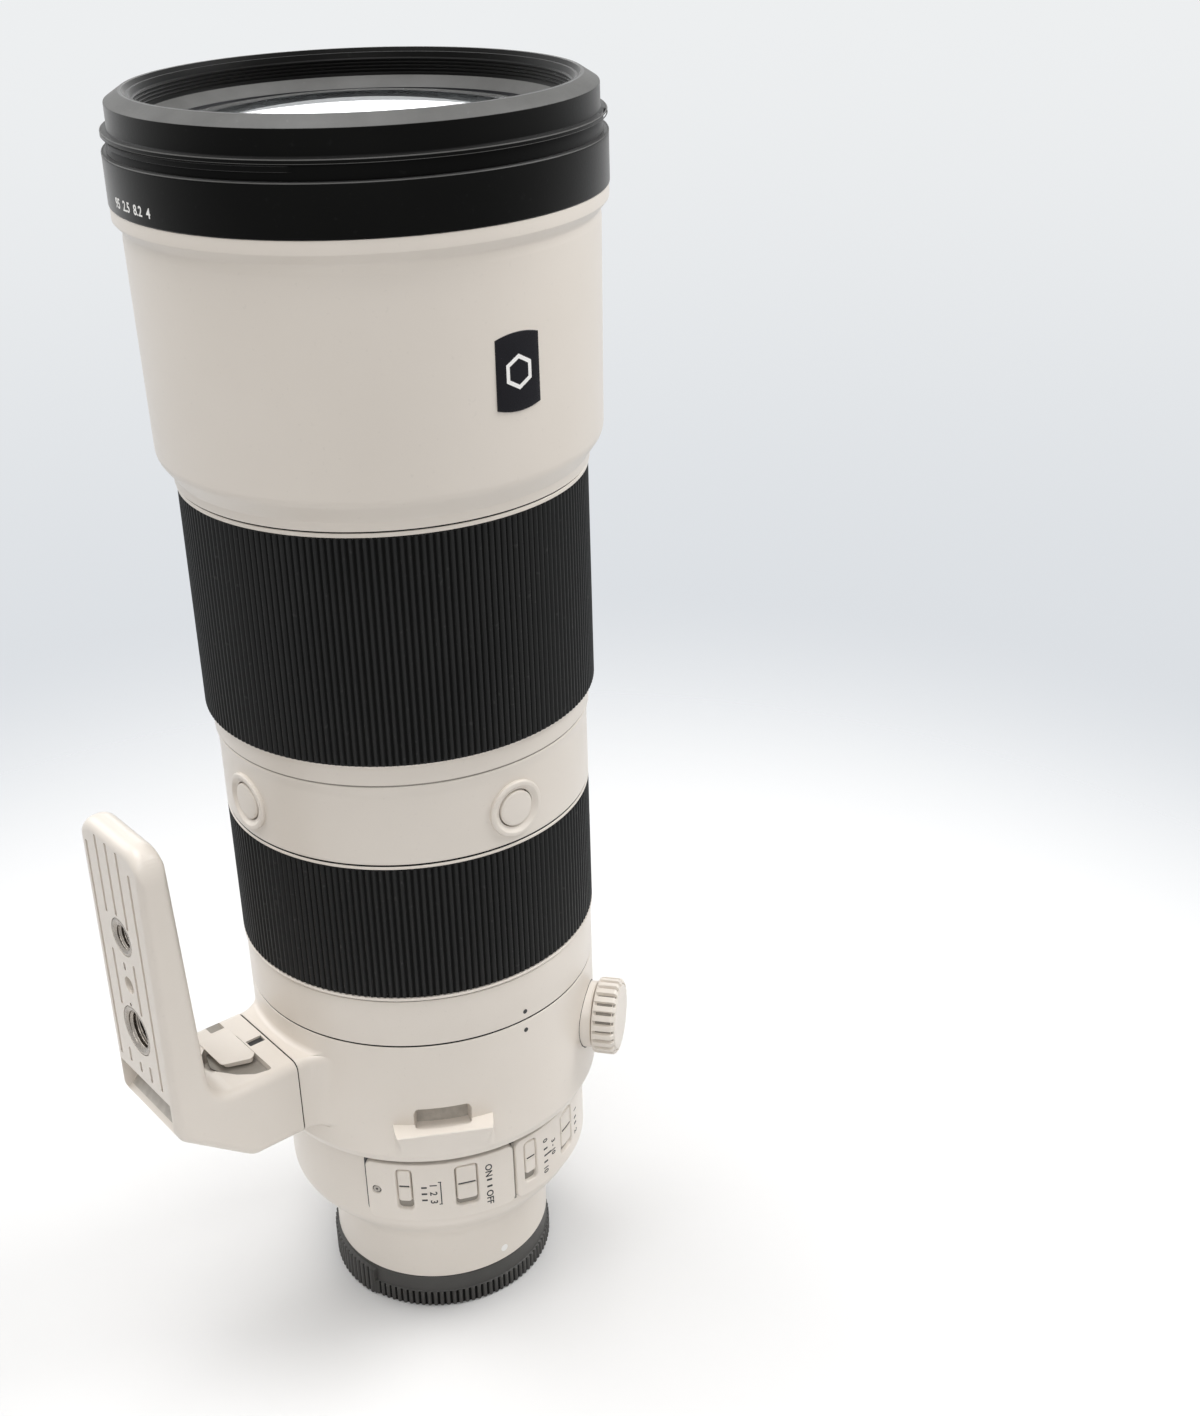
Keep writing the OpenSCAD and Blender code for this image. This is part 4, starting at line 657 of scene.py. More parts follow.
# Plain rings of the barrel, each a section with rounded corners
rings = {
    "indexRingBand": ("whitePaint", "lens_barrel", "white_paint", "index_ring", [
        (41.7, 101.9), (46.3, 101.9, 0.2), (46.3, 115.3, 0.3), (41.7, 115.3)]),
    "focusSleeveTube": ("whitePaint", "focus_ring", "white_paint", "focus_sleeve", [
        (42.0, 115.8), (46.8, 115.8, 0.25), (46.8, 116.55, 0.2), (45.3, 116.7), (45.3, 153.8),
        (46.8, 153.95, 0.2), (46.8, 154.7, 0.25), (42.0, 154.7)]),
    "zoomSleeveTube": ("whitePaint", "zoom_ring", "white_paint", "zoom_sleeve", [
        (44.0, 177.2), (47.5, 177.2, 0.2), (47.55, 181.9, 0.1), (48.5, 182.5, 0.3), (48.5, 182.9), (47.55, 183.0),
        (47.55, 239.4), (49.2, 239.6, 0.2), (49.2, 240.6, 0.25), (44.0, 240.6)]),
    "frontBarrelShell": ("whitePaint", "lens_barrel", "white_paint", "front_barrel", [
        (41.8, 241.1), (49.5, 241.1, 0.15), (49.55, 243.2, 0.6), (53.0, 248.2, 4.5), (53.7, 297.4, 2.5),
        (53.5, 299.7, 1.4), (55.55, 302.1, 0.4), (55.55, 305.1, 0.15), (53.1, 305.1), (53.05, 316.3), (50.4, 316.3),
        (50.4, 250.0), (47.6, 246.6), (41.8, 244.6)]),
    "frontBandRing": ("blackPaint", "lens_barrel", "black_paint", "front_band", [
        (53.1, 305.15), (55.75, 305.15, 0.35), (55.75, 316.35, 0.45), (53.1, 316.35)]),
}
for name, (finish, body, slot, node, section) in rings.items():
    ringPiece(name, section, finish, body, slot, node, turns=300)

# Painted shade in the gaps between the rings: dark discs just under the surface, one of them paler
seamShades = {"half": 0.19, "depth": 2.0, "pale": 3, "places": (
    (46.12, 101.65), (46.12, 115.55), (46.6, 154.95), (47.2, 176.95), (49.0, 240.85))}
for i, (radius, z) in enumerate(seamShades["places"]):
    seamSection = boxSection(radius - seamShades["depth"], radius, z - seamShades["half"], z + seamShades["half"])
    ringPiece("seamShadeDisc" + str(i), seamSection, "shadedPaint" if i == seamShades["pale"] else "blackPaint",
              "lens_barrel", "black_paint", turns=240)

# Rubber grips: a tube whose outer wall is cut by even ribs, eased off at both ends, with a dark sleeve in the grooves
# as painted shade
gripShape = {"round": 0.5, "ribDepth": 0.62, "ribWidth": 0.18, "ribSteep": 0.95, "shadeSleeveDeep": 0.47, "shadeSleeveThick": 0.5}
grips = {
    "zoomGripRubber": {"inner": 47.6, "radius": 49.05, "low": 182.95, "high": 239.5, "ribs": 190,
                       "body": "zoom_ring", "node": "zoom_grip"},
    "focusGripRubber": {"inner": 45.35, "radius": 46.8, "low": 116.75, "high": 153.75, "ribs": 176,
                        "body": "focus_ring", "node": "focus_grip"},
}


def gripChange(s, g):
    def change(angles, radius, height):
        outer = smooth(radius, s["radius"] - 0.5, s["radius"] - 0.3)
        groove = 1 - ribWave(angles, s["ribs"], g["ribWidth"], g["ribSteep"])
        return radius - outer * g["ribDepth"] * groove, height
    return change


def gripPieces(name, s, g):
    section = [(s["inner"], s["low"]), (s["radius"], s["low"], g["round"]), (s["radius"], s["high"], g["round"]),
               (s["inner"], s["high"])]
    ringPiece(name, section, "ribRubber", s["body"], "rubber", s["node"], turns=s["ribs"] * 8, change=gripChange(s, g),
              sharpAngle=70)
    shadeSleeve = s["radius"] - g["shadeSleeveDeep"]
    section = boxSection(shadeSleeve - g["shadeSleeveThick"], shadeSleeve, s["low"] + g["round"], s["high"] - g["round"])
    ringPiece(name + "Grooves", section, "blackPaint", s["body"], "rubber")


for name, s in grips.items():
    gripPieces(name, s, gripShape)

# Hood ring: lip and groove with three bars, a wide chamfer, a threaded bore and a sloping ledge
hoodRing = {
    "threadFrom": 322.6, "threadTo": 326.2, "pitch": 0.8, "threadRadius": 47.75, "threadDepth": 0.42, "groove": 54.6,
    "skin": 53.5, "barLow": 318.3, "barHigh": 319.45, "barRise": 0.6, "barEnd": 1.2,
    "bars": ((-195.0, -136.4), (-26.0, 32.0), (80.0, 138.0)),
    "notch": (-50.0, -41.0), "notchEnd": 0.4, "lipLow": 319.8, "lipHigh": 321.1,
    "grooveLevels": (317.4, 318.18, 318.26, 318.34, 318.42, 319.0, 319.44, 319.51, 319.8),
    "outside": [
        (54.65, 319.88, 0.1), (55.5, 319.9, 0.16), (55.5, 320.75, 0.22), (54.0, 321.05, 0.3), (54.0, 326.4, 0.2),
        (50.6, 328.6, 0.2), (49.75, 328.6, 0.12), (49.2, 327.7, 0.15), (48.6, 327.7, 0.15), (48.2, 326.5)],
    "inside": [(47.6, 322.45), (47.5, 322.3, 0.15), (45.3, 319.75), (50.3, 319.7)],
}


def hoodChange(angles, radius, height):
    s = hoodRing
    degrees = np.degrees(angles)
    outer = radius > s["skin"]
    inBar = smooth(height, s["barLow"] - 0.1, s["barLow"] + 0.1)
    inBar = inBar * (1 - smooth(height, s["barHigh"], s["barHigh"] + 0.05))
    for span in s["bars"]:
        off, half = offSpan(degrees, span)
        radius = radius + outer * s["barRise"] * inBar * (1 - smooth(off, half - s["barEnd"], half))
    off, half = offSpan(degrees, s["notch"])
    inLip = smooth(height, s["lipLow"], s["lipLow"] + 0.1) * (1 - smooth(height, s["lipHigh"] - 0.1, s["lipHigh"]))
    dip = outer * inLip * (1 - smooth(off, half - s["notchEnd"], half)) * np.clip(radius - s["groove"], 0, 2)
    return radius - dip, height


def hoodPath(s):
    start = [(50.3, 316.45), (s["groove"], 316.45, 0.1)] + [(s["groove"], z) for z in s["grooveLevels"]]
    outside = roundedPath(start + s["outside"], closed=False)
    steps = np.arange(int((s["threadTo"] - s["threadFrom"]) / s["pitch"] * 2) + 1)
    threads = np.column_stack([
        s["threadRadius"] + s["threadDepth"] * (steps % 2), s["threadTo"] - steps * s["pitch"] / 2])
    return np.concatenate([outside, threads, roundedPath(s["inside"], closed=False)])


ringPiece("hoodRingBand", hoodPath(hoodRing), "blackPaint", "lens_barrel", "black_paint", "hood_ring", turns=480,
          change=hoodChange, sharpAngle=30)
# Painted highlights on the hood ring, in a paler black: the cone under the thread and the chamfer, which face the
# light, and thin lines on the edges, partly wear and partly painted highlight
hoodHighlights = {
    "hoodLedge": [(45.25, 319.7), (47.5, 322.3), (47.44, 322.45), (45.18, 319.84)],
    "hoodRimLine": [(49.78, 328.5), (50.0, 328.5), (50.0, 328.64, 0.04), (49.78, 328.64, 0.04)],
    "hoodChamfer": [(53.85, 326.42), (54.02, 326.46, 0.05), (50.66, 328.63, 0.05), (50.6, 328.5)],
    "hoodLipLow": [(55.3, 319.86), (55.53, 319.88, 0.04), (55.53, 320.0), (55.3, 320.0)],
    "hoodLipTop": [(55.2, 320.64), (55.53, 320.64), (55.5, 320.80, 0.06), (55.2, 320.84)],
    "bandTopLine": [(55.5, 316.18), (55.78, 316.18), (55.7, 316.38, 0.08), (55.5, 316.38)],
}
for name, section in hoodHighlights.items():
    ringPiece(name, section, "ledgePaint", "lens_barrel", "black_paint")

# Black lining inside the front barrel, seen through the front element
ringPiece("frontLining", boxSection(50.2, 50.38, 250.6, 316.2), "blackPaint", "lens_barrel", "black_paint")

# Front element: two arcs with the curves of the solid, closed at the edge
frontLens = {"radius": 46.8, "top": 323.8, "thick": 18.8, "frontCurve": 230.0, "backCurve": 300.0}


def frontLensPath(s):
    r = np.linspace(s["radius"], 0, 60)
    front = s["top"] - s["frontCurve"] + np.sqrt(s["frontCurve"] ** 2 - r ** 2)
    rear = s["top"] - s["thick"] + s["backCurve"] - np.sqrt(s["backCurve"] ** 2 - r ** 2)
    return np.concatenate([np.column_stack([r[::-1], rear[::-1]]), np.column_stack([r, front])])


ringPiece("frontLens", frontLensPath(frontLens), "lensGlass", "lens_barrel", "glass", "front_element", turns=240)
print("rings and grips made")

# Mid band: a ring whose wall sinks into a round well under each hold button
midBand = {"radius": 46.8, "low": 155.2, "high": 176.7, "tail": 47.4, "inner": 44.9,
           "wells": (-90, 180, 90), "wellZ": 164.3, "wellRadius": 5.9, "wellDepth": 1.6, "blur": 0.2}


def midBandPath(s):
    rise = np.concatenate([[155.35], np.linspace(156.0, 173.0, 60), [174.2]])
    return np.concatenate([
        [[s["inner"], s["low"]], [s["radius"] - 0.25, s["low"]], [s["radius"] - 0.07, s["low"] + 0.07]],
        np.column_stack([np.full(len(rise), s["radius"]), rise]),
        [[s["tail"] - 0.05, s["high"] - 0.5], [s["tail"], s["high"] - 0.25], [s["tail"] - 0.2, s["high"]],
         [s["inner"], s["high"]]]])


def midBandChange(angles, radius, height):
    s = midBand
    outer = radius > s["radius"] - 0.3
    for place in s["wells"]:
        across = ((angles - math.radians(place) + math.pi) % tau - math.pi) * s["radius"]
        deep = s["wellRadius"] - np.hypot(across, height - s["wellZ"])
        radius = radius - outer * s["wellDepth"] * smooth(deep, -s["blur"], s["blur"])
    return radius, height


ringPiece("midBandRing", midBandPath(midBand), "whitePaint", "lens_barrel", "white_paint", "mid_band", turns=720,
          change=midBandChange, sharpAngle=50)

# Hold buttons: a round rim that hugs the band, and a slightly crowned button inside it
holdButton = {
    "z": 164.3, "around": 96, "face": 4.6, "crown": 0.12, "shrinks": (0.85, 0.6, 0.3, 0.03),
    "rim": [(4.95, -1.7), (7.35, -1.7), (7.35, 1.0, 0.45), (6.25, 1.0, 0.4), (5.3, 0.2, 0.3), (4.95, 0.15, 0.1)],
    "steps": [(0, -0.45), (0, 0.3), (0.09, 0.5), (0.3, 0.6)],
    "angles": {"left_hold_button": -90, "lower_hold_button": 180, "right_hold_button": 90},
}


def holdButtons(s):
    rim = turned(roundedPath(s["rim"]), s["around"])
    blocks = [onBarrel(rim, midBand["radius"], angle, s["z"]) for angle in s["angles"].values()]
    blockPiece("buttonRims", blocks, ringFaces, "whitePaint", 40, "lens_barrel", "white_paint", "button_bezels")
    local = padPoints(circleOutline(s["face"]), s["steps"], s["shrinks"])
    spread = np.hypot(local[..., 0], local[..., 1]) / s["face"]
    local[..., 2] += s["crown"] * (1 - spread ** 2) * (local[..., 2] > 0.5)
    for node, angle in s["angles"].items():
        name = node.split("_")[0] + "HoldButton"
        blockPiece(name, [onBarrel(local, midBand["radius"], angle, s["z"])], loftFaces, "whitePlastic", 40,
                   node, "white_plastic", node)


holdButtons(holdButton)

# Badge: a dark plate with bowed ends, bent to the barrel, and a plain six-sided ring on it
badge = {"radius": 53.32, "angle": -88.1, "z": 273.2, "width": 11.8, "height": 17.3, "bow": 1.0,
         "steps": [(0, -0.5), (0, 0.18), (0.08, 0.27), (0.2, 0.3)], "ringOuter": 3.9, "ringInner": 2.9, "ringLow": 0.1,
         "ringRise": 0.34, "ringStep": 0.12}


def bowedOutline(width, height, bow):
    t = np.linspace(-1, 1, 15)
    low = np.column_stack([t * width / 2, -height / 2 - bow * (1 - t ** 2)])
    return np.concatenate([low, -low])


def badgePieces(s):
    place = (s["radius"], s["angle"], s["z"])
    plate = padPoints(bowedOutline(s["width"], s["height"] - 2 * s["bow"], s["bow"]), s["steps"])
    blockPiece("badgePlate", [onBarrel(plate, *place)], loftFaces, "badgeEnamel", 40, "lens_barrel", "black_paint",
               "badge_plate")
    sixSides = np.radians(np.arange(6) * 60 + 30)
    outline = evenOutline(np.stack([np.cos(sixSides), np.sin(sixSides)], -1), s["ringStep"])
    rows = boxSection(s["ringInner"], s["ringOuter"], s["ringLow"], s["ringRise"])
    blockPiece("badgeEmblem", [onBarrel(stacked(outline, rows), *place)], ringFaces, "whiteInk", 40, "lens_barrel",
               "white_plastic")


badgePieces(badge)
print("mid band, buttons and badge made")

# Collar: a turned ring whose wall swells into two strap shelves with a slot above each, and into the foot's boss.
# Each row is [height, cap, inset]: the boss's plan, narrowed by the inset, stands out by the cap at most
collar = {
    "radius": 46.3, "shelfZ": 77.0, "shelfOut": 4.4,
    "shelfHalf": 13.4, "shelfEnd": 2.1, "fade": 10.5, "slotHalf": 7.4, "slotHigh": 81.8, "slotDepth": 3.4,
    "slotCorner": 1.5, "slotLip": 1.9, "slotDrop": 1.5, "lugs": (-120, 120),
    "shelfRows": (-0.2, -0.12, -0.05, -0.01, 0.01, 0.03, 0.05), "plainRows": (84, 88, 91, 99, 100.8),
    "wide": [(140, 158, 20), (158.3, 164.5, 46), (165, 195, 40), (195.5, 201.7, 46), (202, 220, 20)],
    "lowEdge": [(41.95, 62.5), (43.3, 62.5, 0.3), (44.9, 63.7, 1.2), (45.9, 65.8, 2.5)], "lowEnd": (46.2, 66.3),
    "highEdge": [(46.3, 100.95), (46.3, 101.4, 0.3), (41.95, 101.4)],
}
boss = {"seam": 49.6, "half": 15.2, "ease": 8.0, "low": 72.9, "high": 94.9, "edge": 2.2, "root": 1.6, "far": 9.0,
        "caps": (2.2, 2.8, 3.4, 4.2, 9.0), "step": 0.004}


def collarRows(s, b):
    a = np.linspace(0, math.pi / 2, 7)
    one = np.ones(7)
    root = np.column_stack([b["low"] - b["root"] * (1 - np.sin(a)), b["root"] * (1 - np.cos(a)), one * b["edge"]])
    plane = np.column_stack([b["low"] + b["step"] * np.arange(1, 6), b["caps"], np.full(5, b["edge"])])
    edge = np.column_stack([
        b["low"] + 6 * b["step"] + b["edge"] * (1 - np.cos(a)), one * b["far"], b["edge"] * (1 - np.sin(a))])
    below = np.concatenate([root, plane, edge])
    above = below * [-1, 1, 1] + [b["low"] + b["high"], 0, 0]
    shelf = s["shelfZ"]
    plain = np.concatenate([
        np.linspace(66.6, shelf - 0.3, 22), shelf + np.array(s["shelfRows"]),
        np.linspace(shelf + 0.1, s["slotHigh"] + 0.6, 34), s["plainRows"]])
    caps = np.where((plain > b["low"]) & (plain < b["high"]), b["far"], 0)
    level = np.abs(plain - (b["low"] + b["high"]) / 2) - (b["high"] - b["low"]) / 2 + b["edge"]
    insets = b["edge"] - np.sqrt(b["edge"] ** 2 - np.clip(level, 0, b["edge"]) ** 2)
    rows = np.concatenate([below, above, np.column_stack([plain, caps, insets])])
    return rows[np.argsort(rows[:, 0])]


# Radius of the boss's plan at each angle: flat seam face, side wall, and an arc that eases into the ring
def bossRadius(b, ring, off, inset):
    half = b["half"] - inset
    cy = half + b["ease"]
    cx = math.sqrt((ring + b["ease"]) ** 2 - cy ** 2)
    lean = math.asin(max(cx - b["seam"], 0) / b["ease"])
    t = np.linspace(-math.pi / 2 - lean, math.atan2(-cy, -cx), 14)
    side = np.column_stack([cx + b["ease"] * np.cos(t), cy + b["ease"] * np.sin(t)])
    face = np.column_stack([np.full(8, b["seam"]), np.linspace(0, side[0, 1], 8)])
    plan = np.concatenate([face, side])
    return np.interp(np.abs(off), np.arctan2(plan[:, 1], plan[:, 0]), np.hypot(plan[:, 0], plan[:, 1]), right=ring)


# Wall of the collar: the boss row by row, then at each lug the shelf, the slot over it, its lip and its sloping floor
def collarWall(s, b, angles, rows):
    radius = np.full((len(angles), len(rows)), s["radius"])
    height = np.broadcast_to(rows[:, 0], radius.shape)
    off = angles[:, 0] % tau - math.pi
    for k, (_, cap, inset) in enumerate(rows):
        if cap > 0:
            radius[:, k] += np.minimum(cap, np.maximum(bossRadius(b, s["radius"], off, inset) - s["radius"], 0))
    slotTall = s["slotHigh"] - s["shelfZ"]
    for place in s["lugs"]:
        off = (angles - math.radians(place) + math.pi) % tau - math.pi
        across = np.abs(np.tan(np.clip(off, -1, 1)) * s["radius"])
        reach = (s["radius"] + s["shelfOut"]) / np.cos(np.clip(off, -0.6, 0.6)) - s["radius"]
        under = np.clip((height - s["shelfZ"] + s["fade"]) / s["fade"], 0, 1) ** 1.25 * (height < s["shelfZ"])
        ends = np.clip((s["shelfHalf"] - across) / s["shelfEnd"], 0, 1) ** 0.9
        edge = 1 - 0.06 * smooth(height, s["shelfZ"] - 0.25, s["shelfZ"])
        radius = radius + np.maximum(reach, 0) * under * ends * edge
        above = height - s["shelfZ"]
        slot = insideBox(across, above - (slotTall - 2) / 2, 2 * s["slotHalf"], slotTall + 2, s["slotCorner"])
        inSlot = smooth(slot, -0.06, 0.12) * (above > 0.04)
        inside = smooth(s["slotHalf"] - across, -0.06, 0.12)
        bend = np.clip((across - s["slotHalf"] + s["slotCorner"]) / s["slotCorner"], 0, 1)
        lip = s["slotLip"] * np.sqrt(1 - bend ** 2) * inside * (above > 0) * (above < 0.04)
        radius = radius + lip - s["slotDepth"] * inSlot
        height = height - s["slotDrop"] * inside * np.clip(1 - above / slotTall, 0, 1) * (above > 0.02)
    return radius, height


def collarPoints(s, b):
    dense = np.linspace(-19, 19, 170)
    wide = np.concatenate([np.linspace(*row) for row in s["wide"]])
    angles = np.radians(np.concatenate([dense - 120, np.linspace(-100, 100, 110), dense + 120, wide]))[:, None]
    radius, height = collarWall(s, b, angles, collarRows(s, b))
    low = np.concatenate([roundedPath(s["lowEdge"], closed=False), [s["lowEnd"]]])
    high = roundedPath(s["highEdge"], closed=False)
    low, high = (np.broadcast_to(end, (len(angles),) + end.shape) for end in (low, high))
    radius = np.concatenate([low[..., 0], radius, high[..., 0]], 1)
    height = np.concatenate([low[..., 1], height, high[..., 1]], 1)
    return np.stack([radius * np.cos(angles), radius * np.sin(angles), height], -1)


# Lock knob: a turned grip with rounded flutes, a chamfered face and a flat cap, on a round boss of the collar;
# in painted shade, grey rings deep in the flutes and round the cap, and a dark line round its seat
lockKnob = {
    "angle": -51.4, "z": 84.3, "radius": 10.3, "flutes": 24, "fluteDepth": 1.3, "start": 48.65, "end": 54.2,
    "around": 400, "round": 72, "bossRadius": 9.0, "boss": [(0, 40.5), (0, 47.95), (0.15, 48.25), (0.4, 48.35)],
    "capRadius": 8.76, "cap": [(0, 54.2), (0, 54.75), (0.1, 54.9), (0.35, 55.0)],
    "shades": {"fluteShade": (8.6, 9.2, 49.6, 53.85), "capShade": (8.7, 9.1, 54.2, 54.5)}, "shadeAround": 96,
    "seatWide": 18.6, "seatCorner": 9.28, "seatRise": 0.05,
}


# Points of the knob's frame, carried to its place on the collar
def atKnob(local):
    return outOfBarrel(local, lockKnob["angle"], lockKnob["z"])


def knobFlutes(around, radius, out):
    s = lockKnob
    cut = smooth(radius, 8.9, 9.7) * smooth(out, s["start"] + 0.5, s["start"] + 1.1)
    return radius - cut * s["fluteDepth"] * (1 - ribWave(around, s["flutes"], 1.2, 3.0)), out


def lockKnobPieces(s):
    profile = roundedPath([
        (0, 43.5), (3, 43.5), (3, s["start"] - 0.1), (8.2, s["start"], 0.3), (s["radius"] - 0.2, s["start"] + 0.1, 0.4),
        (s["radius"], s["start"] + 1.2), (s["radius"], s["start"] + 2.6), (s["radius"], s["end"] - 1.2),
        (s["radius"], s["end"], 0.8), (9.4, 54.85, 0.25), (9.08, 54.85), (9.06, 54.3), (0, 54.3)], closed=False)
    blockPiece("lockKnobGrip", [atKnob(turned(profile, s["around"], knobFlutes))], tubeFaces, "whitePlastic", 45,
               "lock_knob", "white_plastic", "lock_knob", weld=True)
    blockPiece("lockKnobFace", [atKnob(padPoints(circleOutline(s["capRadius"], s["round"]), s["cap"]))], loftFaces,
               "whitePlastic", 40, "lock_knob", "white_plastic", "knob_cap")
    for name, box in s["shades"].items():
        blockPiece(name, [atKnob(turned(np.array(boxSection(*box)), s["shadeAround"]))], ringFaces, "shadedPaint", 40,
                   "lock_knob", "white_plastic")
    seat = (s["angle"], s["z"], s["seatWide"], s["seatWide"], s["seatCorner"])
    bandPiece("knobSeatLine", [seat], collar["radius"], s["seatRise"], "blackInk", "tripod_collar")


collarMesh, collarFaces = joined([collarPoints(collar, boss)], ringFaces)
knobBoss = atKnob(padPoints(circleOutline(lockKnob["bossRadius"], lockKnob["round"]), lockKnob["boss"]))
collarFaces += loftFaces(*knobBoss.shape[:2], len(collarMesh))
settle(meshPiece("collarBody", np.concatenate([collarMesh, knobBoss.reshape(-1, 3)]), collarFaces, "whitePaint", 38),
       "tripod_collar", "white_paint", "collar_ring")

# Painted shade: a grey plate on the back wall of each strap slot
slotShade = {"box": (78.6, 14.6, 6.2, 1.4), "radius": 42.95, "rise": 0.12}
bandPiece("slotBackShades", [(angle, *slotShade["box"]) for angle in collar["lugs"]], slotShade["radius"], slotShade["rise"],
          "screwPaint", "tripod_collar")


# Prism: an outline carried straight along an axis between two places
def prismPoints(outline, low, high, axis):
    ends = np.broadcast_to(np.array([low, high], float)[None, :, None], (len(outline), 2, 1))
    flat = np.broadcast_to(outline[:, None, :], (len(outline), 2, 2))
    if axis == "x":
        return np.concatenate([ends, flat], -1)
    if axis == "y":
        return np.stack([flat[..., 1], ends[..., 0], flat[..., 0]], -1)
    return np.concatenate([flat, ends], -1)


# Thin dark plate on the boss's face, a little inside its outline, seen as the joint line: painted shade of the joint
jointShadePlate = {"from": -49.92, "to": -49.5, "width": 29.9, "tall": 21.5, "corner": 2.0, "z": 83.9}
jointOutline = roundedBox(jointShadePlate["width"], jointShadePlate["tall"], jointShadePlate["corner"], 0, jointShadePlate["z"])
blockPiece("jointShadePlate", [prismPoints(jointOutline, jointShadePlate["from"], jointShadePlate["to"], "x")], loftFaces,
           "blackPaint", 30, "tripod_collar", "black_paint")
lockKnobPieces(lockKnob)
print("collar, boss and lock knob made")

# Foot: side outline swept across, drawn in near both sides by a quarter circle, with its top corners rounded.
# Grooves are [across, low, high], holes [height, radius, depth], slots of the arm [width, length, corner, x, y]
foot = {
    "half": 15.4, "edge": 2.3, "topCorner": 7.0, "topFrom": 138.0, "topTo": 160.0, "face": -84.1, "sharp": 32,
    "outline": [
        (50.05, 72.9), (64.6, 72.9, 5.0), (82.8, 87.0, 5.0), (84.1, 89.9, 5.0), (84.1, 169.5, 3.0),
        (76.7, 169.5, 3.4), (73.7, 94.9, 7.0), (50.05, 94.9)],
    "grooveWidth": 1.1, "grooveDepth": 1.5, "grooveStart": -84.8,
    "grooves": [
        (11.8, 100.6, 162.9), (6.4, 145.2, 166.6), (6.4, 118.4, 134.9), (6.4, 100.8, 105.2), (1.0, 146.5, 166.6),
        (1.0, 131.0, 133.2), (1.0, 120.4, 121.4), (1.0, 100.5, 103.6), (-4.4, 144.9, 166.4), (-4.4, 120.2, 134.9),
        (-4.4, 100.2, 105.0), (-9.8, 100.6, 162.7)],
    "holes": [(140.9, 5.1, 6.9), (113.6, 6.7, 6.9), (127.1, 2.3, 5.0)], "holeStart": -85,
    "heel": [(86.0, -85.5), (95.4, -76.6, 1.0), (98.2, -77.6, 1.5), (98.2, -85.5)], "heelSpan": (-12.9, 13.1),
    "recess": [(-64.9, 6.0, 0.5), (-69.0, 1.6, 2.0), (-68.2, -2.4, 3.0), (-63.6, -8.8, 4), (-59.9, -11.7, 2),
               (-55.5, -12.7, 0.8), (-55.5, 6.0, 0.5)], "recessSpan": (90.6, 104),
    "slots": [(4.4, 2.6, 0.3, -52.8, 0.5), (4.0, 4.2, 0.4, -58.0, 13.0)], "slotSpan": (92.6, 97),
}


def footPoints(s):
    outline = roundedPath(s["outline"], arcSteps=8)
    normal = outlineNormals(outline)
    normal[[0, -1]] = [[0, -1], [0, 1]]
    outerRows = s["half"] - s["topCorner"] + s["topCorner"] * np.sin(np.linspace(0, math.pi / 2, 14))
    fine = s["half"] - s["edge"] + s["edge"] * np.sin(np.linspace(0, math.pi / 2, 8))
    positive = np.unique(np.round(np.concatenate([[0, 4], outerRows, fine]), 4))
    rows = np.concatenate([-positive[:0:-1], positive])
    over = np.clip(np.abs(rows) - s["half"] + s["edge"], 0, s["edge"])
    inset = s["edge"] - np.sqrt(s["edge"] ** 2 - over ** 2)
    beyond = np.clip(np.abs(rows) - s["half"] + s["topCorner"], 0, s["topCorner"])
    drop = s["topCorner"] - np.sqrt(s["topCorner"] ** 2 - beyond ** 2)
    flat = outline[:, None, :] - normal[:, None, :] * inset[None, :, None]
    height = flat[..., 1] - drop[None, :] * smooth(outline[:, 1], s["topFrom"], s["topTo"])[:, None]
    return np.stack([-flat[..., 0], np.broadcast_to(rows[None, :], height.shape), height], -1)


# Rail on the boss that the foot slides on: a dovetail plan, grown by the room for the foot's groove
rail = {"seam": 49.6, "sunk": 2, "depth": 4.0, "root": 6.0, "tip": 8.0, "low": 73.9, "high": 91.6, "room": 0.35}


def railPlan(s, room):
    near, seam, far = s["sunk"] - s["seam"], -s["seam"], -s["seam"] - s["depth"] - room
    root, tip = s["root"] + room, s["tip"] + room
    return np.array([(near, root), (seam, root), (far, tip), (far, -tip), (seam, -root), (near, -root)])


blockPiece("footRail", [prismPoints(railPlan(rail, 0), rail["low"], rail["high"], "z")], loftFaces, "whitePaint", 30,
           "tripod_collar", "white_paint")


def footCutters(s):
    cutters = [prismPoints(railPlan(rail, rail["room"]), rail["low"] - 2, rail["high"] + rail["room"], "z")]
    for y, low, high in s["grooves"]:
        slot = roundedBox(s["grooveWidth"], high - low, s["grooveWidth"] * 0.49, y, (low + high) / 2, 4)
        cutters.append(prismPoints(slot, s["grooveStart"], s["face"] + s["grooveDepth"], "x"))
    for z, radius, depth in s["holes"]:
        cutters.append(prismPoints(circleOutline(radius) + [0, z], s["holeStart"], s["face"] + depth, "x"))
    cutters.append(prismPoints(roundedPath(s["heel"]), *s["heelSpan"], "y"))
    cutters.append(prismPoints(roundedPath(s["recess"]), *s["recessSpan"], "z"))
    return cutters + [prismPoints(roundedBox(*slot), *s["slotSpan"], "z") for slot in s["slots"]]


# Normals that lean to the larger faces and keep sharp edges
def evenNormals(piece):
    piece.modifiers.new("even", "WEIGHTED_NORMAL").keep_sharp = True


